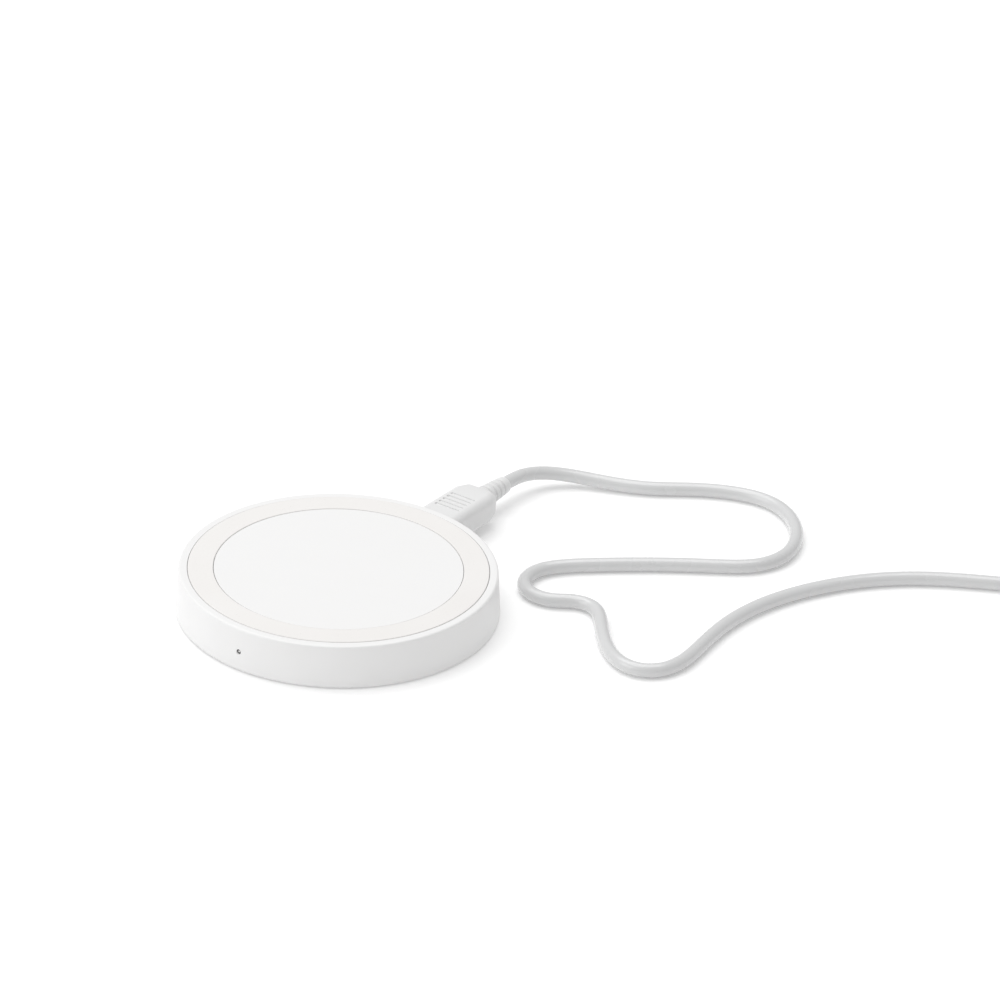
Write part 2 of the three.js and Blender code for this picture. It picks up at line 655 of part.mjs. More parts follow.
function farContact() {
  const high = FAR_SHELL.height / 2 - FAR_SHELL.wall - FAR_TONGUE.height - 2 * GLUE;
  const middle = farMouth - FAR_CONTACT_END - FAR_CONTACT.length / 2;
  return block(FAR_CONTACT.width, FAR_CONTACT.length, high - FAR_CONTACT.height, high).translate(0, middle, 0);
}

// ---- The assembly ----
place(pad, "top_cover", topCover(), HOUSING_WHITE);
place(pad, "grip_ring", gripRing(), GRIP_SILICONE);
place(pad, "bottom_cover", bottomCover(), HOUSING_WHITE);
place(pad, "foot_ring", footRing(), FOOT_SILICONE);
screwPlaces.forEach((at, i) => place(pad, `housing_screw_${i + 1}`, screw(), STEEL, at));

place(pad, "circuit_board", board(), BOARD_GREEN);
place(pad, "ferrite_sheet", ferriteSheet(), FERRITE_GREY);
place(pad, "transmitter_coil", transmitterCoil(), COPPER);
place(pad, "coil_adhesive_film", adhesiveFilm(), FILM_CREAM);
const innerLeadX = COIL_INNER - COIL_WIRE - LEAD_WIRE;
const outerLeadX = FERRITE_RADIUS - FERRITE_NOTCH / 2;
place(pad, "coil_lead_inner", coilLead(COIL_INNER - COIL_WIRE, innerLeadX, 3), COPPER);
place(pad, "coil_lead_outer", coilLead(coilOuter + COIL_WIRE / 2 + GLUE, outerLeadX, -3), COPPER);
place(pad, "charge_controller", onBoard(CHIP.side, CHIP.side, CHIP.height), CHIP_BLACK, [-6, 8, 0]);
[-1, 1].forEach((side, i) => {
  const bridge = onBoard(BRIDGE.side, BRIDGE.side, BRIDGE.height);
  place(pad, `bridge_driver_${i + 1}`, bridge, CHIP_BLACK, [5 + 4 * side, -9, 0]);
});
for (let i = 0; i < 4; i += 1) {
  const capacitor = onBoard(CAPACITOR.width, CAPACITOR.length, CAPACITOR.height);
  place(pad, `resonance_capacitor_${i + 1}`, capacitor, CERAMIC_TAN, [-19 + 3.2 * i, -6, 0]);
}
place(pad, "input_inductor", onBoard(INDUCTOR.side, INDUCTOR.side, INDUCTOR.height), CHIP_BLACK, [6, 19, 0]);
const ledPlace = [0, LED.depth / 2 - BOARD_RADIUS + GLUE, 0];
place(pad, "indicator_led", onBoard(LED.width, LED.depth, LED.height), FILM_CREAM, ledPlace);
place(pad, "light_pipe", lightPipe(), CLEAR_ACRYLIC);
place(pad, "socket_shell", socketShell(), STEEL);
place(pad, "socket_tongue", socketTongue(), INSULATOR_BLACK);

place(cable, "plug_shell", plugShell(), STEEL);
place(cable, "plug_grip", plugGrip(), PLUG_WHITE);
const relief = strainRelief().rotateX(-Math.PI / 2);
place(cable, "plug_strain_relief", relief, PLUG_WHITE, [0, reliefFront, socketHeight]);
place(cable, "cord_lead", cordLead(), CORD_WHITE);
place(cable, "cord_coil", cordCoil(), CORD_WHITE, windMiddle.toArray());
place(cable, "coil_tie", coilTie(), TIE_WHITE, windMiddle.toArray(), TIE.turn);
place(cable, "cord_tail", cordTail(), CORD_WHITE);

const supplyPlug = new THREE.Group();
supplyPlug.position.copy(farPlug);
supplyPlug.rotation.z = THREE.MathUtils.degToRad(TAIL_TURN - 180);
const farRelief = strainRelief().rotateX(Math.PI / 2).translate(0, RELIEF.length, 0);
place(supplyPlug, "supply_plug_strain_relief", farRelief, PLUG_WHITE);
place(supplyPlug, "supply_plug_grip", farGrip(), PLUG_WHITE);
place(supplyPlug, "supply_plug_shell", farShell(), STEEL);
place(supplyPlug, "supply_plug_tongue", farTongue(), PLUG_WHITE);
FAR_CONTACT.pitches.forEach((x, i) =>
  place(supplyPlug, `supply_plug_contact_${i + 1}`, farContact(), GOLD, [x, 0, 0]),
);
cable.add(supplyPlug);

const assembly = new THREE.Group();
assembly.add(pad, cable);
export default assembly;
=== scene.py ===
import math

import bmesh
import bpy
from mathutils import Matrix, Vector


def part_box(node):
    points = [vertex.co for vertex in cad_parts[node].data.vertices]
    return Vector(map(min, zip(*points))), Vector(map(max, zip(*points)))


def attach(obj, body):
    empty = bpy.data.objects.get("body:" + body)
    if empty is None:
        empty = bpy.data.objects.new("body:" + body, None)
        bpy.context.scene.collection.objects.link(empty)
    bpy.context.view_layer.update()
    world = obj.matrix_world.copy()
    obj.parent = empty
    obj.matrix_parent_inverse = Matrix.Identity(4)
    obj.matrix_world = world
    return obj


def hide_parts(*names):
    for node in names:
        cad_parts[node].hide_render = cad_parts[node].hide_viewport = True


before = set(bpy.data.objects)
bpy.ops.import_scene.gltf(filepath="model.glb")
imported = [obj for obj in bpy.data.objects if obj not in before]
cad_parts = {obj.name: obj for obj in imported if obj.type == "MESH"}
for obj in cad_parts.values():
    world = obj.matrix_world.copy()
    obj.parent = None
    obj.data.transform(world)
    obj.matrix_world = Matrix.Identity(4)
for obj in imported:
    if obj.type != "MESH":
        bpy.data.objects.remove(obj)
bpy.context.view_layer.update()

MM = 0.001

# ---- Camera ----
CAMERA_PLACE = (0.55143, -0.74604, 0.51835)
CAMERA_TURNS = ((34.37, "Z"), (62.12, "X"), (2.29, "Z"))
CAMERA_LENS = 177.44


def studio_camera():
    lens = bpy.data.cameras.new("studio_camera")
    lens.sensor_width = 36
    lens.lens = CAMERA_LENS
    camera = bpy.data.objects.new("studio_camera", lens)
    bpy.context.scene.collection.objects.link(camera)
    aim = Matrix.Translation(CAMERA_PLACE)
    for degrees, axis in CAMERA_TURNS:
        aim = aim @ Matrix.Rotation(math.radians(degrees), 4, axis)
    camera.matrix_world = aim
    bpy.context.scene.camera = camera


studio_camera()

# ---- The supply cord's route ----
CORD = 0.0031  # diameter
TABLE_LIFT = 0.00005
RESTING = CORD / 2 + TABLE_LIFT
SOCKET_HEIGHT = sum(point.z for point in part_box("plug_shell")) / 2
CORD_EXIT = (0, 0.06258, SOCKET_HEIGHT)
IN_RELIEF = 0.0022  # how far a cord's end goes into its strain relief
CORD_ROUTE = [
    (0, 0.066, 0.0049),
    (0.0006, 0.0705, 0.0044),
    (0.0032, 0.0756, 0.0034),
    (0.0086, 0.0797, 0.0023),
    (0.016, 0.0826, 0.00175),
    (0.0236, 0.0862, RESTING),
    (0.0301, 0.0918, RESTING),
    (0.038, 0.0965, RESTING),
    (0.047, 0.0988, RESTING),
    (0.0554, 0.0953, RESTING),
    (0.0618, 0.088, RESTING),
    (0.0649, 0.0786, RESTING),
    (0.062, 0.0699, RESTING),
    (0.054, 0.0646, RESTING),
    (0.044, 0.0575, RESTING),
    (0.034, 0.049, RESTING),
    (0.028, 0.0434, RESTING),
    (0.025, 0.0386, RESTING),
    (0.0253, 0.0327, RESTING),
    (0.0295, 0.0288, RESTING),
    (0.0352, 0.0289, RESTING),
    (0.0386, 0.032, RESTING),
    (0.0421, 0.0332, RESTING),
    (0.0458, 0.0323, RESTING),
    (0.0486, 0.0292, RESTING),
    (0.0544, 0.0218, RESTING),
    (0.0603, 0.0169, RESTING),
    (0.0663, 0.0155, RESTING),
    (0.0712, 0.0188, RESTING),
    (0.0727, 0.0248, RESTING),
    (0.0718, 0.0326, RESTING),
    (0.0704, 0.043, RESTING),
    (0.0713, 0.0554, RESTING),
    (0.076, 0.0689, RESTING),
    (0.0843, 0.0818, RESTING),
    (0.0954, 0.0913, RESTING),
    (0.1076, 0.0977, RESTING),
]
APPROACH_TURN = 31  # the cord's heading from the route's end to the stored coil, in degrees from +X
APPROACH_STEPS = (0.0085, 0.017)
TOUCH_TURN = 121  # where the cord meets the stored coil
TAIL_TURN = 10  # where it leaves it
COIL_TURNS = 5 + (TOUCH_TURN - TAIL_TURN) / 360
COIL_STEPS = 24  # control points in a turn
TAIL = 0.02
SUPPLY_PLUG_HEIGHT = 0.0039
TIE_TURN = -115
TIE_LIFT = 0.00065  # the coil rises over the strap that passes under it
# The turns lie side by side in three columns and two layers.
# Columns 0, 1 and 2 are the inner, the middle and the outer one.
COLUMNS = [(0, 2), (0.86, 2), (1, 1), (1.86, 1), (2, 0), (3.54, 0), (3.7, 1), (4.54, 1), (4.7, 2), (6, 2)]
LAYERS = [(0, 0), (2.7, 0), (2.86, 1), (6, 1)]

coil_low, coil_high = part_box("cord_coil")
coil_middle = (coil_low + coil_high) / 2
coil_middle.z = 0
COIL_RADIUS = (coil_high.x - coil_low.x) / 2 - 1.5 * CORD


def heading(degrees):
    turn = math.radians(degrees)
    return Vector((math.cos(turn), math.sin(turn), 0))


def eased(marks, at):
    """The value at a place between marks, which it leaves and reaches smoothly."""
    for (start, low), (end, high) in zip(marks, marks[1:]):
        if at <= end:
            share = max(0, (at - start) / (end - start))
            return low + (high - low) * share * share * (3 - 2 * share)
    return marks[-1][1]


def coil_lift(degrees):
    """How far the coil's turns lie over the table at a place round the coil."""
    away = abs((degrees - TIE_TURN + 180) % 360 - 180)
    return TIE_LIFT * eased([(0, 1), (14, 1), (48, 0), (180, 0)], away)


def coil_points():
    """The wound turns' control points, set out a little so that the curve itself has the turns' radius."""
    step = 2 * math.pi / COIL_STEPS
    outset = 3 / (2 + math.cos(step))
    points = []
    count = round(COIL_TURNS * COIL_STEPS)
    for i in range(count + 1):
        at = COIL_TURNS * i / count
        degrees = TOUCH_TURN - 360 * at
        radius = COIL_RADIUS + (eased(COLUMNS, at) - 1) * CORD * 1.01
        level = RESTING + coil_lift(degrees) + eased(LAYERS, at) * CORD * 1.01
        points.append(coil_middle + heading(degrees) * radius * outset + Vector((0, 0, level)))
    return points


def supply_cord():
    start = Vector(CORD_EXIT) - Vector((0, IN_RELIEF, 0))
    points = [start, Vector(CORD_EXIT)] + [Vector(point) for point in CORD_ROUTE]
    points += [points[-1] + heading(APPROACH_TURN) * step for step in APPROACH_STEPS]
    turns = coil_points()
    points += turns
    away = heading(TAIL_TURN - 90)
    tail_start = coil_middle + heading(TAIL_TURN) * (COIL_RADIUS + CORD)
    for distance, share in ((0.006, 0.15), (0.0115, 0.6), (0.017, 1), (TAIL + IN_RELIEF, 1)):
        height = turns[-1].z + (SUPPLY_PLUG_HEIGHT - turns[-1].z) * share
        points.append(tail_start + away * distance + Vector((0, 0, height)))
    curve = bpy.data.curves.new("supply_cord", "CURVE")
    curve.dimensions = "3D"
    spline = curve.splines.new("NURBS")
    spline.points.add(len(points) - 1)
    for spot, point in zip(spline.points, points):
        spot.co = (*point, 1)
    spline.order_u = 4
    spline.use_endpoint_u = True
    spline.resolution_u = 10
    spline.use_smooth = True
    curve.bevel_depth = CORD / 2
    curve.bevel_resolution = 7
    curve.use_fill_caps = True
    cord = bpy.data.objects.new("supply_cord", curve)
    bpy.context.scene.collection.objects.link(cord)
    return cord


# ---- Modelling steps ----
def deselect():
    for other in bpy.context.selected_objects:
        other.select_set(False)


def pick(piece):
    deselect()
    piece.select_set(True)
    bpy.context.view_layer.objects.active = piece


def into_edit(piece):
    pick(piece)
    bpy.ops.object.mode_set(mode="EDIT")


def out_of_edit():
    bpy.ops.object.mode_set(mode="OBJECT")


def settle(piece):
    """Puts a piece's place, turn and size into its mesh."""
    pick(piece)
    bpy.ops.object.transform_apply(location=True, rotation=True, scale=True)


def named(name):
    piece = bpy.context.object
    piece.name = name
    piece.data.name = name
    return piece


def select_edges(piece, test):
    """In edit mode, selects just the edges whose two ends pass the test."""
    bpy.ops.mesh.select_mode(type="EDGE")
    bpy.ops.mesh.select_all(action="DESELECT")
    mesh = bmesh.from_edit_mesh(piece.data)
    for edge in mesh.edges:
        if test(edge.verts[0].co, edge.verts[1].co):
            edge.select_set(True)
    bmesh.update_edit_mesh(piece.data)


def select_faces(piece, test):
    """In edit mode, selects just the faces whose middle and normal pass the test."""
    bpy.ops.mesh.select_mode(type="FACE")
    bpy.ops.mesh.select_all(action="DESELECT")
    mesh = bmesh.from_edit_mesh(piece.data)
    mesh.normal_update()
    for face in mesh.faces:
        if test(face.calc_center_median(), face.normal):
            face.select_set(True)
    bmesh.update_edit_mesh(piece.data)


def near(value, wanted, within=0.00001):
    return abs(value - wanted) < within


def round_edges(piece, test, width, segments):
    """Rounds the edges that pass the test."""
    into_edit(piece)
    select_edges(piece, test)
    bpy.ops.mesh.bevel(offset=width, offset_type="OFFSET", segments=segments, profile=0.5, affect="EDGES")
    out_of_edit()


def at_ring(radius, height):
    """A test for the edges of a turned piece that run round it at one radius and height, in millimetres."""

    def test(first, second):
        return all(near(end.xy.length, radius * MM) and near(end.z, height * MM) for end in (first, second))

    return test


def apply_all(piece):
    pick(piece)
    for modifier in list(piece.modifiers):
        bpy.ops.object.modifier_apply(modifier=modifier.name)


def cut(piece, cutter, operation="DIFFERENCE"):
    """Cuts one piece out of another, or joins it on, and takes the cutter away."""
    modifier = piece.modifiers.new("cut", "BOOLEAN")
    modifier.operation = operation
    modifier.solver = "EXACT"
    modifier.object = cutter
    apply_all(piece)
    bpy.data.objects.remove(cutter)


def clean(piece):
    into_edit(piece)
    bpy.ops.mesh.select_all(action="SELECT")
    bpy.ops.mesh.remove_doubles(threshold=0.000001)
    bpy.ops.mesh.normals_make_consistent(inside=False)
    out_of_edit()


def smooth(piece, degrees=35):
    """Smooth shading that keeps the corners, with the flats kept flat beside their rounded edges."""
    pick(piece)
    bpy.ops.object.shade_smooth_by_angle(angle=math.radians(degrees))
    flats = piece.modifiers.new("flats", "WEIGHTED_NORMAL")
    flats.mode = "FACE_AREA"
    flats.keep_sharp = True
    apply_all(piece)


def turned(name, profile, sides, closed=False, rounds=()):
    """A circle pulled out ring by ring along a profile of radius and height, in millimetres.
    The profile closes on its start, or its two end rings are filled."""
    radius, height = profile[0]
    deselect()
    bpy.ops.mesh.primitive_circle_add(vertices=sides, radius=radius * MM, location=(0, 0, height * MM))
    piece = named(name)
    settle(piece)
    into_edit(piece)
    bpy.ops.mesh.select_all(action="SELECT")
    if not closed:
        bpy.ops.mesh.edge_face_add()
        bpy.ops.mesh.select_all(action="SELECT")
        bpy.ops.mesh.duplicate()
        bpy.ops.mesh.delete(type="ONLY_FACE")
        bpy.ops.mesh.select_all(action="DESELECT")
        mesh = bmesh.from_edit_mesh(piece.data)
        for edge in mesh.edges:
            edge.select_set(edge.is_wire)
        bmesh.update_edit_mesh(piece.data)
    path = list(profile[1:])
    if closed:
        path.append(profile[0])
    for next_radius, next_height in path:
        rise = (next_height - height) * MM
        share = next_radius / radius
        bpy.ops.mesh.extrude_region_move(TRANSFORM_OT_translate={"value": (0, 0, rise)})
        bpy.ops.transform.resize(value=(share, share, 1), center_override=(0, 0, next_height * MM))
        radius, height = next_radius, next_height
    if not closed:
        bpy.ops.mesh.edge_face_add()
    out_of_edit()
    clean(piece)
    for ring_radius, ring_height, width, segments in rounds:
        round_edges(piece, at_ring(ring_radius, ring_height), width * MM, segments)
    return piece


def bar(name, low, high):
    """A block between two corners, in metres."""
    deselect()
    low, high = Vector(low), Vector(high)
    bpy.ops.mesh.primitive_cube_add(size=1, location=(low + high) / 2)
    piece = named(name)
    piece.scale = high - low
    settle(piece)
    return piece


def placed(piece, matrix):
    piece.matrix_world = matrix
    settle(piece)
    return piece


def along(axis):
    """A test for the edges that run along one axis."""

    def test(first, second):
        return abs((second - first).normalized()[axis]) > 0.999

    return test


def around_end(axis, place):
    """A test for the edges that lie in the plane across an axis at a place."""

    def test(first, second):
        return near(first[axis], place) and near(second[axis], place)

    return test


def folded(piece, wall):
    """Takes the ends off a block that lies along Y and leaves a sheet round it, its wall in millimetres."""
    into_edit(piece)
    select_faces(piece, lambda middle, normal: abs(normal.y) > 0.9)
    bpy.ops.mesh.delete(type="FACE")
    out_of_edit()
    sheet = piece.modifiers.new("sheet", "SOLIDIFY")
    sheet.thickness = wall * MM
    sheet.offset = -1
    apply_all(piece)
    return piece


# ---- Finishes ----
def put(tree, kind, values=None, **settings):
    """Adds a node with its settings, and the values or links of its inputs."""
    made = tree.nodes.new(kind)
    for name, value in settings.items():
        setattr(made, name, value)
    for name, value in (values or {}).items():
        if isinstance(value, bpy.types.NodeSocket):
            tree.links.new(value, made.inputs[name])
        else:
            made.inputs[name].default_value = value
    return made


def new_group(name, takes, gives):
    """A node group with named inputs and outputs, and its two end nodes."""
    group = bpy.data.node_groups.new(name, "ShaderNodeTree")
    for socket, kind, value in takes:
        made = group.interface.new_socket(name=socket, in_out="INPUT", socket_type=kind)
        if value is not None:
            made.default_value = value
    for socket, kind in gives:
        group.interface.new_socket(name=socket, in_out="OUTPUT", socket_type=kind)
    return group, group.nodes.new("NodeGroupInput"), group.nodes.new("NodeGroupOutput")


FLOAT = "NodeSocketFloat"
VECTOR = "NodeSocketVector"


def grain_group():
    """The fine texture of a moulding tool, and the slow drift in gloss of a handled surface."""
    takes = [("Fine", FLOAT, 6000), ("Coarse", FLOAT, 60), ("Stretch", VECTOR, (1, 1, 1))]
    group, start, end = new_group("tool_grain", takes, [("Height", FLOAT), ("Drift", FLOAT)])
    place = put(group, "ShaderNodeTexCoord").outputs["Object"]
    pulled = put(group, "ShaderNodeVectorMath", {0: place, 1: start.outputs["Stretch"]}, operation="MULTIPLY")
    close_up = {"Vector": pulled.outputs[0], "Scale": start.outputs["Fine"]}
    fine = put(group, "ShaderNodeTexNoise", {**close_up, "Detail": 3})
    pits = put(group, "ShaderNodeTexVoronoi", close_up, feature="SMOOTH_F1")
    pitted = {"Factor": 0.4, "A": fine.outputs["Fac"], "B": pits.outputs["Distance"]}
    height = put(group, "ShaderNodeMix", pitted)
    far_off = {"Vector": place, "Scale": start.outputs["Coarse"], "Detail": 4}
    coarse = put(group, "ShaderNodeTexNoise", far_off)
    spread = {"Value": coarse.outputs["Fac"], "From Min": 0.3, "From Max": 0.7}
    drift = put(group, "ShaderNodeMapRange", spread)
    group.links.new(height.outputs["Result"], end.inputs["Height"])
    group.links.new(drift.outputs["Result"], end.inputs["Drift"])
    return group


def dust_group():
    """A few small specks that lie on upward faces."""
    takes = [("Scale", FLOAT, 900), ("Amount", FLOAT, 0.06)]
    group, start, end = new_group("resting_dust", takes, [("Mask", FLOAT)])
    shape = put(group, "ShaderNodeNewGeometry")
    up = put(group, "ShaderNodeSeparateXYZ", {"Vector": shape.outputs["Normal"]})
    place = put(group, "ShaderNodeTexCoord").outputs["Object"]
    cells = put(group, "ShaderNodeTexVoronoi", {"Vector": place, "Scale": start.outputs["Scale"]})
    inside = {0: cells.outputs["Distance"], 1: start.outputs["Amount"]}
    speck = put(group, "ShaderNodeMath", inside, operation="LESS_THAN")
    facing = put(group, "ShaderNodeMath", {0: up.outputs["Z"], 1: 0.8}, operation="GREATER_THAN")
    both = put(group, "ShaderNodeMath", {0: speck.outputs[0], 1: facing.outputs[0]}, operation="MULTIPLY")
    group.links.new(both.outputs[0], end.inputs["Mask"])
    return group


def weave_group():
    """Plain weave: threads that pass over and under each other, from a place along and across the cloth."""
    takes = [("Place", VECTOR, (0, 0, 0)), ("Threads", FLOAT, 2800)]
    group, start, end = new_group("plain_weave", takes, [("Height", FLOAT), ("Over", FLOAT)])
    pitch = put(group, "ShaderNodeMath", {0: start.outputs["Threads"], 1: 0.31416}, operation="MULTIPLY")
    crossings = {"Vector": start.outputs["Place"], "Scale": start.outputs["Threads"]}
    squares = put(group, "ShaderNodeTexChecker", crossings)
    threads = []
    for direction in ("X", "Y"):
        values = {"Vector": start.outputs["Place"], "Scale": pitch.outputs[0], "Phase Offset": -math.pi / 2}
        threads.append(put(group, "ShaderNodeTexWave", values, bands_direction=direction).outputs["Fac"])
    height = put(group, "ShaderNodeMix", {"Factor": squares.outputs["Fac"], "A": threads[0], "B": threads[1]})
    group.links.new(height.outputs["Result"], end.inputs["Height"])
    group.links.new(squares.outputs["Fac"], end.inputs["Over"])
    return group


def tracks_group():
    """Copper tracks and round lands under a board's solder mask."""
    takes = [("Place", VECTOR, (0, 0, 0)), ("Tracks", FLOAT, 420), ("Lands", FLOAT, 700)]
    group, start, end = new_group("board_tracks", takes, [("Raised", FLOAT), ("Bare", FLOAT)])
    fields = {"Vector": start.outputs["Place"], "Scale": start.outputs["Tracks"], "Randomness": 0.85}
    gaps = put(group, "ShaderNodeTexVoronoi", fields, feature="DISTANCE_TO_EDGE", voronoi_dimensions="2D")
    edge = {"Value": gaps.outputs["Distance"], "From Min": 0.05, "From Max": 0.08}
    raised = put(group, "ShaderNodeMapRange", edge)
    spots = {"Vector": start.outputs["Place"], "Scale": start.outputs["Lands"], "Randomness": 0.6}
    lands = put(group, "ShaderNodeTexVoronoi", spots, voronoi_dimensions="2D")
    bare = put(group, "ShaderNodeMath", {0: lands.outputs["Distance"], 1: 0.12}, operation="LESS_THAN")
    group.links.new(raised.outputs["Result"], end.inputs["Raised"])
    group.links.new(bare.outputs[0], end.inputs["Bare"])
    return group


GRAIN = grain_group()
DUST = dust_group()
WEAVE = weave_group()
TRACKS = tracks_group()


def shaded(name):
    """A new material, its tree and its shader."""
    finish = bpy.data.materials.new(name)
    finish.use_nodes = True
    tree = finish.node_tree
    return finish, tree, tree.nodes["Principled BSDF"]


def grey(value, warm=0.0):
    return (value * (1 + warm), value, value * (1 - warm), 1)


def mixed_tone(tree, mask, light, dark):
    """A colour between two, by a mask."""
    tone = put(tree, "ShaderNodeMix", data_type="RGBA")
    tree.links.new(mask, tone.inputs["Factor"])
    for socket, value in (("A", light), ("B", dark)):
        if isinstance(value, bpy.types.NodeSocket):
            tree.links.new(value, tone.inputs[socket])
        else:
            tone.inputs[socket].default_value = value
    return tone.outputs["Result"]


def moulded(
    name,
    light,
    dark,
    gloss,
    fine=6000,
    coarse=60,
    depth=0.00001,
    stretch=(1, 1, 1),
    dust=0.0,
    **sockets,
):
    """A moulded or drawn surface. Light and dark are its two tones, gloss its two roughnesses."""
    finish, tree, shader = shaded(name)
    grain = put(tree, "ShaderNodeGroup", node_tree=GRAIN)
    grain.inputs["Fine"].default_value = fine
    grain.inputs["Coarse"].default_value = coarse
    grain.inputs["Stretch"].default_value = stretch
    drift = grain.outputs["Drift"]
    colour = mixed_tone(tree, drift, light, dark)
    if dust:
        specks = put(tree, "ShaderNodeGroup", node_tree=DUST)
        specks.inputs["Amount"].default_value = dust
        colour = mixed_tone(tree, specks.outputs["Mask"], colour, grey(light[1] * 0.72, 0.02))
    tree.links.new(colour, shader.inputs["Base Color"])
    rough = put(tree, "ShaderNodeMapRange", {"Value": drift, "To Min": gloss[0], "To Max": gloss[1]})
    tree.links.new(rough.outputs["Result"], shader.inputs["Roughness"])
    bump = put(tree, "ShaderNodeBump", {"Strength": 1, "Distance": depth, "Height": grain.outputs["Height"]})
    tree.links.new(bump.outputs["Normal"], shader.inputs["Normal"])
    for socket, value in sockets.items():
        shader.inputs[socket.replace("_", " ")].default_value = value
    return finish


def woven(name, light, dark):
    """A strap's weave, along its own map, light on its threads' crowns and darker in the hollows between
    threads as painted shade.
    """
    finish, tree, shader = shaded(name)
    cloth = put(tree, "ShaderNodeUVMap", uv_map="UVMap")
    threads = put(tree, "ShaderNodeGroup", node_tree=WEAVE)
    tree.links.new(cloth.outputs["UV"], threads.inputs["Place"])
    fuzz = put(tree, "ShaderNodeGroup", node_tree=GRAIN)
    fuzz.inputs["Coarse"].default_value = 500
    # Painted shade: the colour follows the threads' height, dark where they dip between one another and light
    # on their crowns.
    tree.links.new(mixed_tone(tree, threads.outputs["Height"], dark, light), shader.inputs["Base Color"])
    rough = put(tree, "ShaderNodeMapRange", {"Value": fuzz.outputs["Drift"], "To Min": 0.7, "To Max": 0.9})
    tree.links.new(rough.outputs["Result"], shader.inputs["Roughness"])
    fuzzy = {"Factor": 0.25, "A": threads.outputs["Height"], "B": fuzz.outputs["Height"]}
    height = put(tree, "ShaderNodeMix", fuzzy)
    bump = put(tree, "ShaderNodeBump", {"Distance": 0.00012, "Height": height.outputs["Result"]})
    tree.links.new(bump.outputs["Normal"], shader.inputs["Normal"])
    return finish


def masked_board(name):
    """Solder mask over copper tracks, with bare tinned lands."""
    finish, tree, shader = shaded(name)
    place = put(tree, "ShaderNodeTexCoord").outputs["Object"]
    tracks = put(tree, "ShaderNodeGroup", node_tree=TRACKS)
    tree.links.new(place, tracks.inputs["Place"])
    grain = put(tree, "ShaderNodeGroup", node_tree=GRAIN)
    green = mixed_tone(tree, tracks.outputs["Raised"], (0.006, 0.07, 0.03, 1), (0.016, 0.15, 0.065, 1))
    colour = mixed_tone(tree, tracks.outputs["Bare"], green, (0.75, 0.68, 0.5, 1))
    tree.links.new(colour, shader.inputs["Base Color"])
    tree.links.new(tracks.outputs["Bare"], shader.inputs["Metallic"])
    rough = put(tree, "ShaderNodeMapRange", {"Value": grain.outputs["Drift"], "To Min": 0.22, "To Max": 0.36})
    tree.links.new(rough.outputs["Result"], shader.inputs["Roughness"])
    bump = put(tree, "ShaderNodeBump", {"Distance": 0.00003, "Height": tracks.outputs["Raised"]})
    tree.links.new(bump.outputs["Normal"], shader.inputs["Normal"])
    return finish


def belongs(piece, body, slot, *nodes):
    """Attaches a piece to its body and hides the CAD nodes that it stands for. Its slot is not used."""
    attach(piece, body)
    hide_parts(*nodes)
    return piece


def show(piece, body, slot, finish, *nodes):
    """Gives a piece one finish, and what belongs to it."""
    piece.data.materials.clear()
    piece.data.materials.append(finish)
    return belongs(piece, body, slot, *nodes)


def coat(finish, *nodes):
    """Gives CAD nodes a finish."""
    for name in nodes:
        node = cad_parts[name]
        node.data.materials.clear()
        node.data.materials.append(finish)


HOUSING = moulded(
    "housing_satin",
    grey(0.86, 0.002),
    grey(0.845, 0.004),
    (0.36, 0.44),
    depth=0.000006,
    Coat_Weight=0.06,
)
GRIP_RUBBER = moulded(
    "grip_silicone",
    grey(0.815, 0.018),
    grey(0.795, 0.021),
    (0.6, 0.68),
    fine=9000,
    dust=0.05,
)
FOOT_RUBBER = moulded("foot_silicone", grey(0.62, 0.012), grey(0.58, 0.014), (0.66, 0.78), fine=5000)
JACKET = moulded(
    "cord_jacket",
    grey(0.67, -0.003),
    grey(0.655, -0.003),
    (0.22, 0.3),
    fine=4000,
    coarse=90,
    depth=0.000004,
    Coat_Weight=0.5,
    Coat_Roughness=0.16,
)
PLUG_MOULDING = moulded("plug_moulding", grey(0.78, 0.0), grey(0.76, 0.002), (0.36, 0.44), depth=0.00001)
STEEL = moulded(
    "nickel_steel",
    grey(0.8, 0.008),
    grey(0.72, 0.01),
    (0.22, 0.34),
    fine=2500,
    depth=0.000003,
    stretch=(1, 0.06, 1),
    Metallic=1.0,
)
TIN = moulded(
    "solder_tin",
    grey(0.72, 0.004),
    grey(0.62, 0.004),
    (0.3, 0.45),
    fine=4000,
    depth=0.00001,
    Metallic=1.0,
)
GOLD = moulded(
    "contact_gold",
    (0.86, 0.62, 0.24, 1),
    (0.78, 0.54, 0.2, 1),
    (0.18, 0.3),
    depth=0.000002,
    Metallic=1.0,
)
COPPER = moulded(
    "litz_copper",
    (0.72, 0.33, 0.14, 1),
    (0.6, 0.25, 0.1, 1),
    (0.28, 0.42),
    fine=3000,
    depth=0.00004,
    Metallic=1.0,
)
FERRITE = moulded("ferrite_grey", grey(0.05), grey(0.035), (0.55, 0.75), fine=2500, coarse=300, depth=0.00003)
FILM = moulded("adhesive_film", (0.72, 0.66, 0.5, 1), (0.68, 0.62, 0.47, 1), (0.4, 0.55), depth=0.00001)
CHIP = moulded("chip_moulding", grey(0.022), grey(0.03), (0.45, 0.6), fine=9000, depth=0.00001)
CERAMIC = moulded(
    "capacitor_ceramic",
    (0.42, 0.28, 0.15, 1),
    (0.36, 0.23, 0.12, 1),
    (0.4, 0.5),
    depth=0.000005,
)
INSULATOR = moulded("socket_insulator", grey(0.02), grey(0.026), (0.4, 0.5))
# The strap's dark tone is painted shade in the weave's hollows, its light tone the threads' crowns.
STRAP = woven("tie_strap", grey(0.8, 0.003), grey(0.5, 0.004))
BOARD = masked_board("board_green")
ACRYLIC = moulded(
    "light_pipe_acrylic",
    grey(0.85, 0.01),
    grey(0.78, 0.01),
    (0.08, 0.16),
    coarse=2500,
    depth=0.000002,
)
TONGUE = moulded("supply_tongue", grey(0.8, 0.0), grey(0.78, 0.002), (0.4, 0.5))

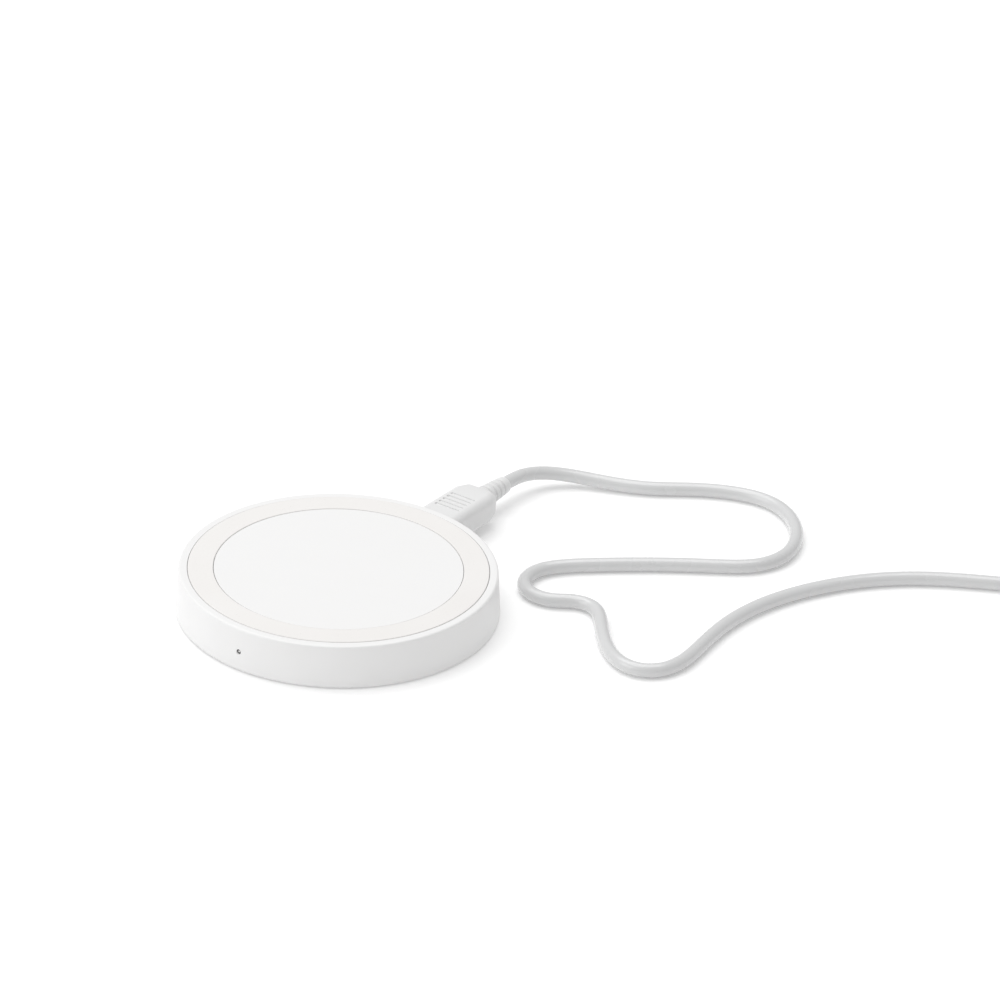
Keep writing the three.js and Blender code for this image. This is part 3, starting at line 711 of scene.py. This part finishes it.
# ---- Cord ----
cord = supply_cord()
show(cord, "cable", "cord_jacket", JACKET, "cord_lead", "cord_coil", "cord_tail")

# ---- Casing ----
ROUND = 256  # sides of the casing's circles
SKIRT_FOOT = 35.0
SKIRT_TOP = 34.4
FACE = 9.9
SKIRT_SLOPE = (SKIRT_FOOT - SKIRT_TOP) / 8.75
INDICATOR_HEIGHT = sum(point.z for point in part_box("light_pipe")) / 2 / MM
SCREW_CIRCLE = 29.0
POST_PLACE = 27.6  # the board's posts, from the middle along X
STAND = 0.35  # the casing's lower edge over the table
SEAM = 0.1
GRIP_INSIDE = 26.9
GRIP_OUTSIDE = 32.4
GRIP_TOP = 10.0
GROOVE_FLOOR = 9.0
SHOULDER_ROUND = 0.5
FOOT_INSIDE = 24.6
FOOT_OUTSIDE = 31.4
FOOT_GAP = 0.2
PINHOLE = 0.55  # radius
PIN = 0.27  # radius of the light pipe's tip
PLUG_HALF_WIDTH = 3.425
PLUG_HALF_HEIGHT = 0.9
PLUG_CHAMFER = 0.75
CONNECTOR_WALL = 0.25
SOCKET_PLAY = 0.12  # between the plug's shell and the socket's


def skirt_radius(height):
    return SKIRT_FOOT - SKIRT_SLOPE * (height - STAND)


def lying(piece, degrees, height):
    """Lays a piece that stands on Z so that it points outwards from the middle at a height in millimetres."""
    flat = Matrix.Rotation(math.radians(90), 4, "Y")
    facing = Matrix.Rotation(math.radians(degrees), 4, "Z")
    return placed(piece, facing @ Matrix.Translation((0, 0, height * MM)) @ flat)


def at_screws(make):
    """A shape at each of the four screws."""
    for i in range(4):
        turn = Matrix.Rotation(math.radians(45 + 90 * i), 4, "Z")
        yield placed(make(), turn @ Matrix.Translation((SCREW_CIRCLE * MM, 0, 0)))


def at_posts(make):
    """A shape at each of the board's two locating posts."""
    for side in (-1, 1):
        yield placed(make(), Matrix.Translation((side * POST_PLACE * MM, 0, 0)))


def connector_block(name, grown, start, end):
    """A bar with the small connector's outline, wide at its top, between two places along Y."""
    x, z = (PLUG_HALF_WIDTH + grown) * MM, (PLUG_HALF_HEIGHT + grown) * MM
    chamfer = (PLUG_CHAMFER + grown * (2 - math.sqrt(2))) * MM
    low = (-x, start * MM, SOCKET_HEIGHT - z)
    high = (x, end * MM, SOCKET_HEIGHT + z)
    piece = bar(name, low, high)
    lower = SOCKET_HEIGHT - z
    round_edges(piece, lambda a, b: along(1)(a, b) and near(a.z, lower), chamfer, 1)
    return piece


def casing():
    shoulder = skirt_radius(FACE)
    inside, outside = GRIP_INSIDE - SEAM, GRIP_OUTSIDE + SEAM
    profile = [
        (inside, FACE),
        (inside, GROOVE_FLOOR),
        (outside, GROOVE_FLOOR),
        (outside, FACE),
        (shoulder, FACE),
        (SKIRT_FOOT, 0.6),
        (34.75, STAND),
        (33.5, STAND),
        (32.975, 8.0),
        (25.72, 8.0),
        (25.72, 8.6),
    ]
    rounds = [(shoulder, FACE, SHOULDER_ROUND, 8), (outside, FACE, 0.08, 3)]
    rounds += [(inside, FACE, 0.08, 3), (SKIRT_FOOT, 0.6, 0.08, 2)]
    piece = turned("casing", profile, ROUND, rounds=rounds)
    for boss in at_screws(lambda: turned("boss", [(2.3, 3.2), (2.3, 8.5)], 40)):
        cut(piece, boss, "UNION")
    for pilot in at_screws(lambda: turned("pilot", [(0.7, 3.0), (0.7, 7.6)], 24)):
        cut(piece, pilot)
    mouth = skirt_radius(INDICATOR_HEIGHT)
    hole = [(PINHOLE, 31), (PINHOLE, mouth - 0.1), (PINHOLE + 0.08, mouth), (0.9, mouth + 0.4)]
    pinhole = turned("pinhole", hole, 48)
    cut(piece, lying(pinhole, -90, INDICATOR_HEIGHT))
    cut(piece, connector_block("aperture", 0.67, 29, 36))
    clean(piece)
    smooth(piece)
    return show(piece, "pad", "housing", HOUSING, "top_cover")


def grip_ring():
    bottom = GROOVE_FLOOR + 0.1
    profile = [(GRIP_INSIDE, bottom), (GRIP_OUTSIDE, bottom)]
    profile += [(GRIP_OUTSIDE, GRIP_TOP), (GRIP_INSIDE, GRIP_TOP)]
    rounds = [(GRIP_INSIDE, GRIP_TOP, 0.2, 4), (GRIP_OUTSIDE, GRIP_TOP, 0.2, 4)]
    piece = turned("grip_band", profile, ROUND, closed=True, rounds=rounds)
    smooth(piece)
    return show(piece, "pad", "grip_silicone", GRIP_RUBBER, "grip_ring")


def foot_band():
    """The silicone foot, with three shallow grooves in its underside."""
    low, high, groove = 0.0, 0.85, 0.3
    profile = [(FOOT_INSIDE, high), (FOOT_INSIDE, low)]
    for middle in (26.3, 28.0, 29.7):
        profile += [(middle - 0.4, low), (middle - 0.25, groove)]
        profile += [(middle + 0.25, groove), (middle + 0.4, low)]
    profile += [(FOOT_OUTSIDE, low), (FOOT_OUTSIDE, high)]
    rounds = [(FOOT_INSIDE, low, 0.2, 4), (FOOT_OUTSIDE, low, 0.2, 4)]
    piece = turned("foot_band", profile, ROUND // 2, closed=True, rounds=rounds)
    smooth(piece)
    return show(piece, "pad", "foot_silicone", FOOT_RUBBER, "foot_ring")


def light_pipe():
    """A clear pin with a domed end in the indicator hole, and a dark ring round it: a near-black sleeve that
    is painted shade in the hole.
    """
    tip = skirt_radius(INDICATOR_HEIGHT) - 0.18
    back = 31.1
    inside = skirt_radius(INDICATOR_HEIGHT) - 1.8
    profile = [(0.45, back), (0.45, inside - 0.7), (1.1, inside - 0.7), (1.1, inside), (0.45, inside)]
    profile += [(PIN, inside + 0.1), (PIN, tip - 0.2), (0.25, tip - 0.1), (0.18, tip - 0.03), (0.08, tip)]
    piece = turned("light_pipe_pin", profile, 40)
    smooth(piece)
    lying(piece, -90, INDICATOR_HEIGHT)
    show(piece, "pad", "clear_acrylic", ACRYLIC, "light_pipe")
    # The dark ring is painted shade: a near-black sleeve round the pin, in the ferrite's dark finish, stands
    # in for the shadow in the gap of the indicator hole.
    back, front = tip - 0.9, tip - 0.12
    near_pin, near_hole = PIN + 0.02, PINHOLE - 0.01
    shade = [(near_pin, back), (near_hole, back), (near_hole, front), (near_pin, front)]
    ring = turned("painted_hole_shade", shade, 40, closed=True)
    smooth(ring)
    lying(ring, -90, INDICATOR_HEIGHT)
    return show(ring, "pad", "chip_moulding", FERRITE)


casing()
grip_ring()
foot_band()
light_pipe()

# ---- Small plug and its strain relief ----
RELIEF = {"start": 2.6, "end": 1.95, "length": 9.0, "ribs": 4}


def relief(name):
    """A tapered sleeve with ribs, standing on Z from its thick end."""
    profile = [(RELIEF["start"], 0)]
    pitch = 1.75
    for i in range(RELIEF["ribs"]):
        low = 0.95 + pitch * i
        at_low = RELIEF["start"] + (RELIEF["end"] - RELIEF["start"]) * low / RELIEF["length"]
        profile += [(at_low, low), (at_low - 0.4, low + 0.12)]
        profile += [(at_low - 0.44, low + 0.62), (at_low - 0.06, low + 0.74)]
    profile += [(RELIEF["end"], 8.6), (RELIEF["end"] - 0.12, RELIEF["length"]), (1.62, RELIEF["length"])]
    piece = turned(name, profile, 48)
    edges = piece.modifiers.new("edges", "BEVEL")
    edges.width = 0.08 * MM
    edges.segments = 2
    edges.angle_limit = math.radians(30)
    apply_all(piece)
    smooth(piece, 50)
    return piece


def finger_grooves(piece, places, width, reach, depth, length):
    """Sinks rounded finger grooves side by side into a grip's top and underside."""
    for place in places:
        for side in (-1, 1):
            middle = Vector((0, place * MM, side * reach * MM))
            half = Vector((length / 2, width / 2, depth)) * MM
            groove = bar("groove", middle - half, middle + half)
            round_edges(groove, lambda a, b: True, min(width, 2 * depth) * 0.42 * MM, 4)
            cut(piece, groove)


def grip_body(name, width, height, length, corner):
    """A plug's moulding on Y from the origin, rounded all over and narrowed towards the cord, at +Y."""
    piece = bar(name, (-width / 2 * MM, 0, -height / 2 * MM), (width / 2 * MM, length * MM, height / 2 * MM))
    into_edit(piece)
    bpy.ops.mesh.select_all(action="SELECT")
    bpy.ops.mesh.bisect(plane_co=(0, length * 0.8 * MM, 0), plane_no=(0, 1, 0))
    select_faces(piece, lambda middle, normal: normal.y > 0.9)
    bpy.ops.transform.resize(value=(0.8, 1, 0.86), center_override=(0, length * MM, 0))
    out_of_edit()
    round_edges(piece, lambda a, b: abs((b - a).normalized().y) > 0.9, corner * MM, 8)
    round_edges(piece, around_end(1, length * MM), 1.1 * MM, 6)
    round_edges(piece, around_end(1, 0), 0.5 * MM, 4)
    return piece


def small_plug():
    low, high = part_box("plug_grip")
    length = (high.y - low.y) / MM
    piece = grip_body("plug_body", (high.x - low.x) / MM, (high.z - low.z) / MM, length, 2.0)
    finger_grooves(piece, [4.6, 6.1, 7.6, 9.1, 10.6], 0.8, (high.z - low.z) / 2 / MM, 0.35, 6.4)
    placed(piece, Matrix.Translation((0, low.y, SOCKET_HEIGHT)))
    front = low.y / MM
    cut(piece, connector_block("pocket", 0.1, front - 1, front + 2))
    clean(piece)
    smooth(piece, 40)
    return show(piece, "cable", "plug_moulding", PLUG_MOULDING, "plug_grip")


def plug_relief():
    low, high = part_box("plug_strain_relief")
    piece = relief("plug_relief")
    start = Matrix.Translation((0, low.y - 0.6 * MM, SOCKET_HEIGHT))
    placed(piece, start @ Matrix.Rotation(math.radians(-90), 4, "X"))
    return show(piece, "cable", "plug_moulding", PLUG_MOULDING, "plug_strain_relief")


plug_body = small_plug()
plug_neck = plug_relief()

# ---- Supply plug ----
away = heading(TAIL_TURN - 90)
supply_end = coil_middle + heading(TAIL_TURN) * (COIL_RADIUS + CORD) + away * TAIL
supply_end += Vector((0, 0, SUPPLY_PLUG_HEIGHT))
SUPPLY_PLUG = Matrix.Translation(supply_end) @ Matrix.Rotation(math.radians(TAIL_TURN - 180), 4, "Z")
SUPPLY_GRIP_FROM = 9.3
SUPPLY_GRIP_TO = 37.3
SUPPLY_MOUTH = 56.05
SUPPLY_WALL = 0.3


def supply_grip():
    length = SUPPLY_GRIP_TO - SUPPLY_GRIP_FROM
    piece = grip_body("supply_plug_body", 15.4, 7.8, length, 2.2)
    finger_grooves(piece, [9.0, 11.0, 13.0, 15.0, 17.0], 1.0, 3.9, 0.4, 9.4)
    pocket = bar("pocket", (-6.1 * MM, -1 * MM, -2.35 * MM), (6.1 * MM, 2 * MM, 2.35 * MM))
    round_edges(pocket, along(1), 0.5 * MM, 4)
    cut(piece, pocket)
    clean(piece)
    smooth(piece, 40)
    turned_round = Matrix.Translation((0, SUPPLY_GRIP_TO * MM, 0)) @ Matrix.Rotation(math.pi, 4, "Z")
    placed(piece, SUPPLY_PLUG @ turned_round)
    return show(piece, "cable", "plug_moulding", PLUG_MOULDING, "supply_plug_grip")


def supply_relief():
    piece = relief("supply_plug_relief")
    start = Matrix.Translation((0, (SUPPLY_GRIP_FROM + 0.4) * MM, 0))
    placed(piece, SUPPLY_PLUG @ start @ Matrix.Rotation(math.radians(90), 4, "X"))
    return show(piece, "cable", "plug_moulding", PLUG_MOULDING, "supply_plug_strain_relief")


def supply_shell():
    """A folded sheet sleeve with two windows in each broad face."""
    start = SUPPLY_GRIP_TO - 1.9
    low = (-6 * MM, start * MM, -2.25 * MM)
    piece = bar("supply_plug_sleeve", low, (6 * MM, SUPPLY_MOUTH * MM, 2.25 * MM))
    round_edges(piece, along(1), 0.55 * MM, 5)
    folded(piece, SUPPLY_WALL)
    for side in (-1, 1):
        middle = Vector((side * 2.6 * MM, (SUPPLY_MOUTH - 6.2) * MM, 0))
        half = Vector((1.15 * MM, 1.15 * MM, 4 * MM))
        window = bar("window", middle - half, middle + half)
        round_edges(window, along(2), 0.3 * MM, 3)
        cut(piece, window)
    round_edges(piece, around_end(1, SUPPLY_MOUTH * MM), 0.08 * MM, 2)
    clean(piece)
    smooth(piece, 30)
    placed(piece, SUPPLY_PLUG)
    return show(piece, "cable", "steel", STEEL, "supply_plug_shell")


supply_body = supply_grip()
supply_neck = supply_relief()
supply_sleeve = supply_shell()


# ---- Strap round the stored coil ----
STRAP_WIDTH = 6.0
STRAP_THICK = 0.36


def strap_path():
    """The strap's middle, seen along the cord: once round the turns, its end lapped over its start."""
    inner, outer = 12.47, 22.55
    bottom, top, corner = STRAP_THICK / 2, 7.2, 1.5
    path = [(15.4, top), (17.0, top), (19.0, top)]
    corners = [
        (outer - corner, top - corner, 90, -15),
        (outer - corner, bottom + corner, 0, -15),
        (inner + corner, bottom + corner, -90, -15),
        (inner + corner, top - corner + 0.2, 180, -15),
    ]
    for x, z, first, step in corners:
        for i in range(7):
            turn = math.radians(first + step * i)
            path.append((x + corner * math.cos(turn), z + corner * math.sin(turn)))
    lapped = top + STRAP_THICK + 0.03
    path += [(14.8, lapped - 0.03), (15.8, lapped), (17.2, lapped), (18.8, lapped), (19.6, lapped + 0.05)]
    return path


def lay_cloth(piece, path):
    """A map of the strap in metres: along its length and across its width."""
    lengths = [0.0]
    for (x0, z0), (x1, z1) in zip(path, path[1:]):
        lengths.append(lengths[-1] + math.hypot(x1 - x0, z1 - z0))
    cloth = piece.data.uv_layers.new(name="UVMap")
    for loop in piece.data.loops:
        spot = piece.data.vertices[loop.vertex_index].co / MM
        gaps = [math.hypot(spot.x - x, spot.z - z) for x, z in path]
        cloth.data[loop.index].uv = (lengths[gaps.index(min(gaps))] * MM, spot.y * MM)


def coil_strap():
    path = strap_path()
    deselect()
    bpy.ops.mesh.primitive_plane_add(size=STRAP_WIDTH * MM)
    piece = named("cord_tie")
    into_edit(piece)
    select_edges(piece, lambda a, b: a.x < 0 and b.x < 0)
    bpy.ops.mesh.delete(type="VERT")
    bpy.ops.mesh.select_all(action="SELECT")
    start = ((path[0][0] - STRAP_WIDTH / 2) * MM, 0, path[0][1] * MM)
    bpy.ops.transform.translate(value=start)
    for (x0, z0), (x1, z1) in zip(path, path[1:]):
        step = ((x1 - x0) * MM, 0, (z1 - z0) * MM)
        bpy.ops.mesh.extrude_region_move(TRANSFORM_OT_translate={"value": step})
    out_of_edit()
    lay_cloth(piece, path)
    sheet = piece.modifiers.new("sheet", "SOLIDIFY")
    sheet.thickness = STRAP_THICK * MM
    sheet.offset = 0
    edges = piece.modifiers.new("edges", "BEVEL")
    edges.width = 0.1 * MM
    edges.segments = 2
    edges.angle_limit = math.radians(60)
    apply_all(piece)
    smooth(piece, 50)
    placed(piece, Matrix.Translation(coil_middle) @ Matrix.Rotation(math.radians(TIE_TURN), 4, "Z"))
    return show(piece, "cable", "tie_strap", STRAP, "coil_tie")


tie = coil_strap()


# ---- Bottom cover ----
def base_plate():
    inside, outside = FOOT_INSIDE - FOOT_GAP, FOOT_OUTSIDE + FOOT_GAP
    recess, plate_top, lip_top = 0.95, 1.85, 3.0
    rim, lip_outside, lip_inside = 33.3, 33.0, 32.1
    profile = [
        (inside, STAND),
        (inside, recess),
        (outside, recess),
        (outside, STAND),
        (rim, STAND),
        (rim, plate_top),
        (lip_outside, plate_top),
        (lip_outside, lip_top),
        (lip_inside, lip_top),
        (lip_inside, plate_top),
    ]
    rounds = [(inside, STAND, 0.12, 3), (outside, STAND, 0.12, 3)]
    rounds += [(rim, STAND, 0.2, 3), (lip_outside, lip_top, 0.15, 2)]
    piece = turned("base_plate", profile, ROUND, rounds=rounds)
    for pillar in at_screws(lambda: turned("pillar", [(2.6, 0.96), (2.6, 2.9)], 48)):
        cut(piece, pillar, "UNION")
    post = [(1.5, 1.15), (1.5, 2.5), (0.75, 2.5), (0.75, 3.85), (0.6, 4.0)]
    for peg in at_posts(lambda: turned("post", post, 32)):
        cut(piece, peg, "UNION")
    bore = [(1.75, 0.2), (1.75, 2.05), (1.05, 2.05), (1.05, 3.2)]
    for hole in at_screws(lambda: turned("bore", bore, 40)):
        cut(piece, hole)
    cut(piece, bar("tab_gap", (-5 * MM, 30 * MM, 1.95 * MM), (5 * MM, 34 * MM, 4 * MM)))
    clean(piece)
    smooth(piece)
    return show(piece, "pad", "housing", HOUSING, "bottom_cover")


base_plate()


# ---- Folded metal shells of the small plug and its socket ----
def sleeve(name, grown, start, end):
    """A folded sheet with the connector's outline, open at both ends."""
    piece = connector_block(name, grown, start, end)
    round_edges(piece, along(1), 0.3 * MM, 4)
    return folded(piece, CONNECTOR_WALL)


def plug_sleeve():
    low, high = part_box("plug_shell")
    piece = sleeve("plug_sleeve", 0, low.y / MM, high.y / MM)
    for side in (-1, 1):
        middle = Vector((side * 1.7 * MM, low.y + 1.9 * MM, SOCKET_HEIGHT - 0.9 * MM))
        half = Vector((0.35, 0.6, 0.4)) * MM
        slot = bar("latch_slot", middle - half, middle + half)
        round_edges(slot, along(2), 0.12 * MM, 3)
        cut(piece, slot)
    round_edges(piece, around_end(1, low.y), 0.06 * MM, 2)
    clean(piece)
    smooth(piece, 30)
    return show(piece, "cable", "steel", STEEL, "plug_shell")


def socket_sleeve():
    low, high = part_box("socket_shell")
    piece = sleeve("socket_sleeve", CONNECTOR_WALL + SOCKET_PLAY, low.y / MM, high.y / MM)
    round_edges(piece, around_end(1, high.y), 0.08 * MM, 3)
    smooth(piece, 30)
    return show(piece, "pad", "steel", STEEL, "socket_shell")


def joined(name, parts):
    """Several parts as one piece."""
    pick(parts[0])
    for part in parts[1:]:
        part.select_set(True)
    bpy.ops.object.join()
    return named(name)


def socket_contacts():
    """Five gilded springs under the socket's tongue."""
    low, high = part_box("socket_tongue")
    springs = []
    for i in range(5):
        x = (i - 2) * 0.65 * MM
        under = SOCKET_HEIGHT - 0.3 * MM
        corner = (x - 0.15 * MM, low.y + 0.7 * MM, under - 0.06 * MM)
        spring = bar("spring", corner, (x + 0.15 * MM, high.y - 0.25 * MM, under))
        round_edges(spring, around_end(2, under - 0.06 * MM), 0.03 * MM, 2)
        springs.append(spring)
    piece = joined("socket_contacts", springs)
    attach(piece, "pad")
    piece.data.materials.clear()
    piece.data.materials.append(GOLD)
    return piece


plug_metal = plug_sleeve()
socket_sleeve()
socket_contacts()

# ---- Transmitter coil and its sheets ----
COIL_INNER = 11.0
COIL_PITCH = 1.3
SPIRAL_TURNS = 9
STRANDS = 6
STRAND = 0.19  # radius
BUNDLE = 0.39  # from the bundle's middle to a strand's
LAY = 7.0  # length of one twist of the strands


def litz_coil():
    """The flat spiral of the transmitter coil, its strands twisted round each other."""
    low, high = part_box("transmitter_coil")
    middle = (low.z + high.z) / 2
    curve = bpy.data.curves.new("litz_coil", "CURVE")
    curve.dimensions = "3D"
    count = 130 * SPIRAL_TURNS
    for strand in range(STRANDS):
        spline = curve.splines.new("POLY")
        spline.points.add(count)
        run = 0.0
        for i, spot in enumerate(spline.points):
            turn = 2 * math.pi * SPIRAL_TURNS * i / count
            radius = COIL_INNER + COIL_PITCH * turn / (2 * math.pi)
            twist = 2 * math.pi * (run / LAY + strand / STRANDS)
            out = (radius + BUNDLE * math.cos(twist)) * MM
            spot.co = (out * math.cos(turn), out * math.sin(turn), middle + BUNDLE * MM * math.sin(twist), 1)
            run += radius * 2 * math.pi * SPIRAL_TURNS / count
        spline.use_smooth = True
    curve.bevel_depth = STRAND * MM
    curve.bevel_resolution = 1
    curve.use_fill_caps = True
    piece = bpy.data.objects.new("litz_coil", curve)
    bpy.context.scene.collection.objects.link(piece)
    return show(piece, "pad", "copper", COPPER, "transmitter_coil")


def ferrite_disc():
    low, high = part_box("ferrite_sheet")
    bottom, top = low.z / MM, high.z / MM
    rounds = [(25, bottom, 0.12, 2), (25, top, 0.12, 2)]
    piece = turned("ferrite_disc", [(25, bottom), (25, top)], 128, rounds=rounds)
    cut(piece, bar("notch", (22 * MM, -3 * MM, 0.004), (28 * MM, 3 * MM, 0.009)))
    eye = turned("eye", [(0.8, bottom - 1), (0.8, top + 1)], 32)
    cut(piece, placed(eye, Matrix.Translation((9 * MM, 0, 0))))
    clean(piece)
    smooth(piece)
    return show(piece, "pad", "ferrite", FERRITE, "ferrite_sheet")


def film_disc():
    low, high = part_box("coil_adhesive_film")
    bottom, top = low.z / MM, high.z / MM
    profile = [(9.8, bottom), (23.9, bottom), (23.9, top), (9.8, top)]
    piece = turned("film_disc", profile, 128, closed=True, rounds=[(9.8, top, 0.04, 2), (23.9, top, 0.04, 2)])
    smooth(piece)
    return show(piece, "pad", "adhesive_film", FILM, "coil_adhesive_film")


litz_coil()
ferrite_disc()
film_disc()


# ---- Circuit board and what is soldered to it ----
def board_disc():
    low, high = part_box("circuit_board")
    bottom, top = low.z / MM, high.z / MM
    piece = turned("board_disc", [(31, bottom), (31, top)], 160)
    cut(piece, bar("tab", (-4.5 * MM, 20 * MM, low.z), (4.5 * MM, high.y, high.z)), "UNION")
    for notch in at_screws(lambda: turned("notch", [(3.2, bottom - 1), (3.2, top + 1)], 48)):
        cut(piece, notch)
    for hole in at_posts(lambda: turned("hole", [(0.95, bottom - 1), (0.95, top + 1)], 32)):
        cut(piece, hole)
    clean(piece)
    smooth(piece)
    return show(piece, "pad", "circuit_board", BOARD, "circuit_board")


def chip_package(name, node):
    """A moulded package with eased edges and a dimple at its first lead, and its solder lands."""
    low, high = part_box(node)
    piece = bar(name, low, high)
    round_edges(piece, lambda a, b: a.z > low.z + 0.0001 or b.z > low.z + 0.0001, 0.1 * MM, 2)
    dimple = turned("dimple", [(0.3, 0), (0.3, 1)], 24)
    cut(piece, placed(dimple, Matrix.Translation((low.x + 0.8 * MM, high.y - 0.8 * MM, high.z - 0.12 * MM))))
    piece.data.materials.append(CHIP)
    piece.data.materials.append(TIN)
    count = int((high.y - low.y) / MM / 0.6)
    lands = []
    for side in (low.x, high.x):
        for i in range(count):
            y = (low.y + high.y) / 2 + (i - (count - 1) / 2) * 0.6 * MM
            corner = (side - 0.18 * MM, y - 0.13 * MM, low.z - 0.06 * MM)
            land = bar("land", corner, (side + 0.18 * MM, y + 0.13 * MM, low.z + 0.14 * MM))
            round_edges(land, along(1), 0.05 * MM, 2)
            land.data.materials.append(TIN)
            lands.append(land)
    return lands, piece


def end_capped(name, low, high, cap):
    """A small ceramic block with metal end caps along Y."""
    piece = bar(name, low, high)
    into_edit(piece)
    for place in (low[1] + cap, high[1] - cap):
        bpy.ops.mesh.select_all(action="SELECT")
        bpy.ops.mesh.bisect(plane_co=(0, place, 0), plane_no=(0, 1, 0))
    out_of_edit()
    round_edges(piece, lambda a, b: around_end(1, low[1])(a, b) or around_end(1, high[1])(a, b), 0.07 * MM, 2)
    return piece


def finish_caps(piece, low, high, cap, body):
    """Gives an end-capped block its body's finish, and tin on its ends."""
    piece.data.materials.append(body)
    piece.data.materials.append(TIN)
    for face in piece.data.polygons:
        inside = low[1] + cap < face.center.y < high[1] - cap
        face.material_index = 0 if inside else 1
    smooth(piece, 40)


def capacitors():
    for i in range(4):
        node = f"resonance_capacitor_{i + 1}"
        low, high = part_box(node)
        piece = end_capped(f"film_capacitor_{i + 1}", low, high, 0.55 * MM)
        finish_caps(piece, low, high, 0.55 * MM, CERAMIC)
        belongs(piece, "pad", "ceramic", node)


def chips():
    for node in ("charge_controller", "bridge_driver_1", "bridge_driver_2"):
        lands, package = chip_package(node + "_package", node)
        piece = joined(node + "_package", [package] + lands)
        smooth(piece, 30)
        belongs(piece, "pad", "chip_moulding", node)


def inductor():
    """A moulded choke with a shallow round well in its top."""
    low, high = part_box("input_inductor")
    middle = (low + high) / 2
    piece = bar("choke", low, high)
    round_edges(piece, along(2), 0.5 * MM, 4)
    round_edges(piece, around_end(2, high.z), 0.15 * MM, 3)
    well = turned("well", [(1.45, 0), (1.6, 0.25), (1.6, 1)], 40)
    cut(piece, placed(well, Matrix.Translation((middle.x, middle.y, high.z - 0.2 * MM))))
    clean(piece)
    smooth(piece, 30)
    return show(piece, "pad", "chip_moulding", FERRITE, "input_inductor")


def led_package():
    """A white side-view lamp with a round lens in its outer face."""
    low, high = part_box("indicator_led")
    middle = (low + high) / 2
    piece = bar("led_package", low, high)
    round_edges(piece, lambda a, b: True, 0.08 * MM, 2)
    bowl = turned("bowl", [(0.5, 0), (0.62, 0.4), (0.62, 1)], 32)
    upright = Matrix.Rotation(math.radians(90), 4, "X")
    cut(piece, placed(bowl, Matrix.Translation((middle.x, low.y + 0.3 * MM, middle.z)) @ upright))
    clean(piece)
    smooth(piece, 30)
    return show(piece, "pad", "adhesive_film", TONGUE, "indicator_led")


def small_passives():
    """Small resistors and capacitors round the chips."""
    low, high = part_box("circuit_board")
    places = [(-12, 12), (-12, 10), (-12, 8), (0, 12), (0, 10), (-6, 14), (-4, 14), (14, -9)]
    places += [(-4, -14), (-2, -14), (0, -14)]
    parts = []
    for x, y in places:
        first = (x * MM - 0.4 * MM, y * MM - 0.8 * MM, high.z + 0.02 * MM)
        last = (x * MM + 0.4 * MM, y * MM + 0.8 * MM, high.z + 0.5 * MM)
        part = end_capped("passive", first, last, 0.3 * MM)
        finish_caps(part, first, last, 0.3 * MM, CHIP)
        parts.append(part)
    piece = joined("small_passives", parts)
    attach(piece, "pad")
    return piece


board_disc()
chips()
capacitors()
inductor()
led_package()
small_passives()

# ---- Finishes of the CAD nodes that keep their shape ----
coat(STEEL, "housing_screw_1", "housing_screw_2", "housing_screw_3", "housing_screw_4")
coat(COPPER, "coil_lead_inner", "coil_lead_outer")
coat(INSULATOR, "socket_tongue")
coat(TONGUE, "supply_plug_tongue")
coat(GOLD, "supply_plug_contact_1", "supply_plug_contact_2", "supply_plug_contact_3", "supply_plug_contact_4")

# ---- Studio ----
def softbox(name, place, size, power):
    """A square light that faces the pad."""
    light = bpy.data.lights.new(name, "AREA")
    light.shape = "SQUARE"
    light.size = size
    light.energy = power
    lamp = bpy.data.objects.new(name, light)
    bpy.context.scene.collection.objects.link(lamp)
    lamp.location = place
    aim = Vector((0.03, 0.02, 0)) - Vector(place)
    lamp.rotation_mode = "QUATERNION"
    lamp.rotation_quaternion = aim.to_track_quat("-Z", "Y")


def studio():
    deselect()
    bpy.ops.mesh.primitive_plane_add(size=8)
    floor = named("studio_floor")
    finish, tree, shader = shaded("studio_floor")
    shader.inputs["Base Color"].default_value = grey(0.86)
    shader.inputs["Roughness"].default_value = 0.7
    shader.inputs["Emission Color"].default_value = grey(1.0)
    shader.inputs["Emission Strength"].default_value = 0.18
    shader.inputs["Specular IOR Level"].default_value = 0.2
    floor.data.materials.append(finish)
    world = bpy.data.worlds.new("studio_world")
    bpy.context.scene.world = world
    world.use_nodes = True
    tree = world.node_tree
    background = tree.nodes["Background"]
    background.inputs["Color"].default_value = (1, 1, 1, 1)
    background.inputs["Strength"].default_value = 0.5
    seen = put(tree, "ShaderNodeBackground", {"Color": (1, 1, 1, 1), "Strength": 1.1})
    path = put(tree, "ShaderNodeLightPath")
    mixed = put(tree, "ShaderNodeMixShader")
    tree.links.new(path.outputs["Is Camera Ray"], mixed.inputs[0])
    tree.links.new(background.outputs[0], mixed.inputs[1])
    tree.links.new(seen.outputs[0], mixed.inputs[2])
    tree.links.new(mixed.outputs[0], tree.nodes["World Output"].inputs["Surface"])
    softbox("overhead_softbox", (-0.35, 0.2, 1.5), 1.5, 16)
    softbox("left_softbox", (-0.72, -1.16, 0.8), 1.1, 6.1)
    bpy.context.scene.view_settings.view_transform = "Standard"


studio()
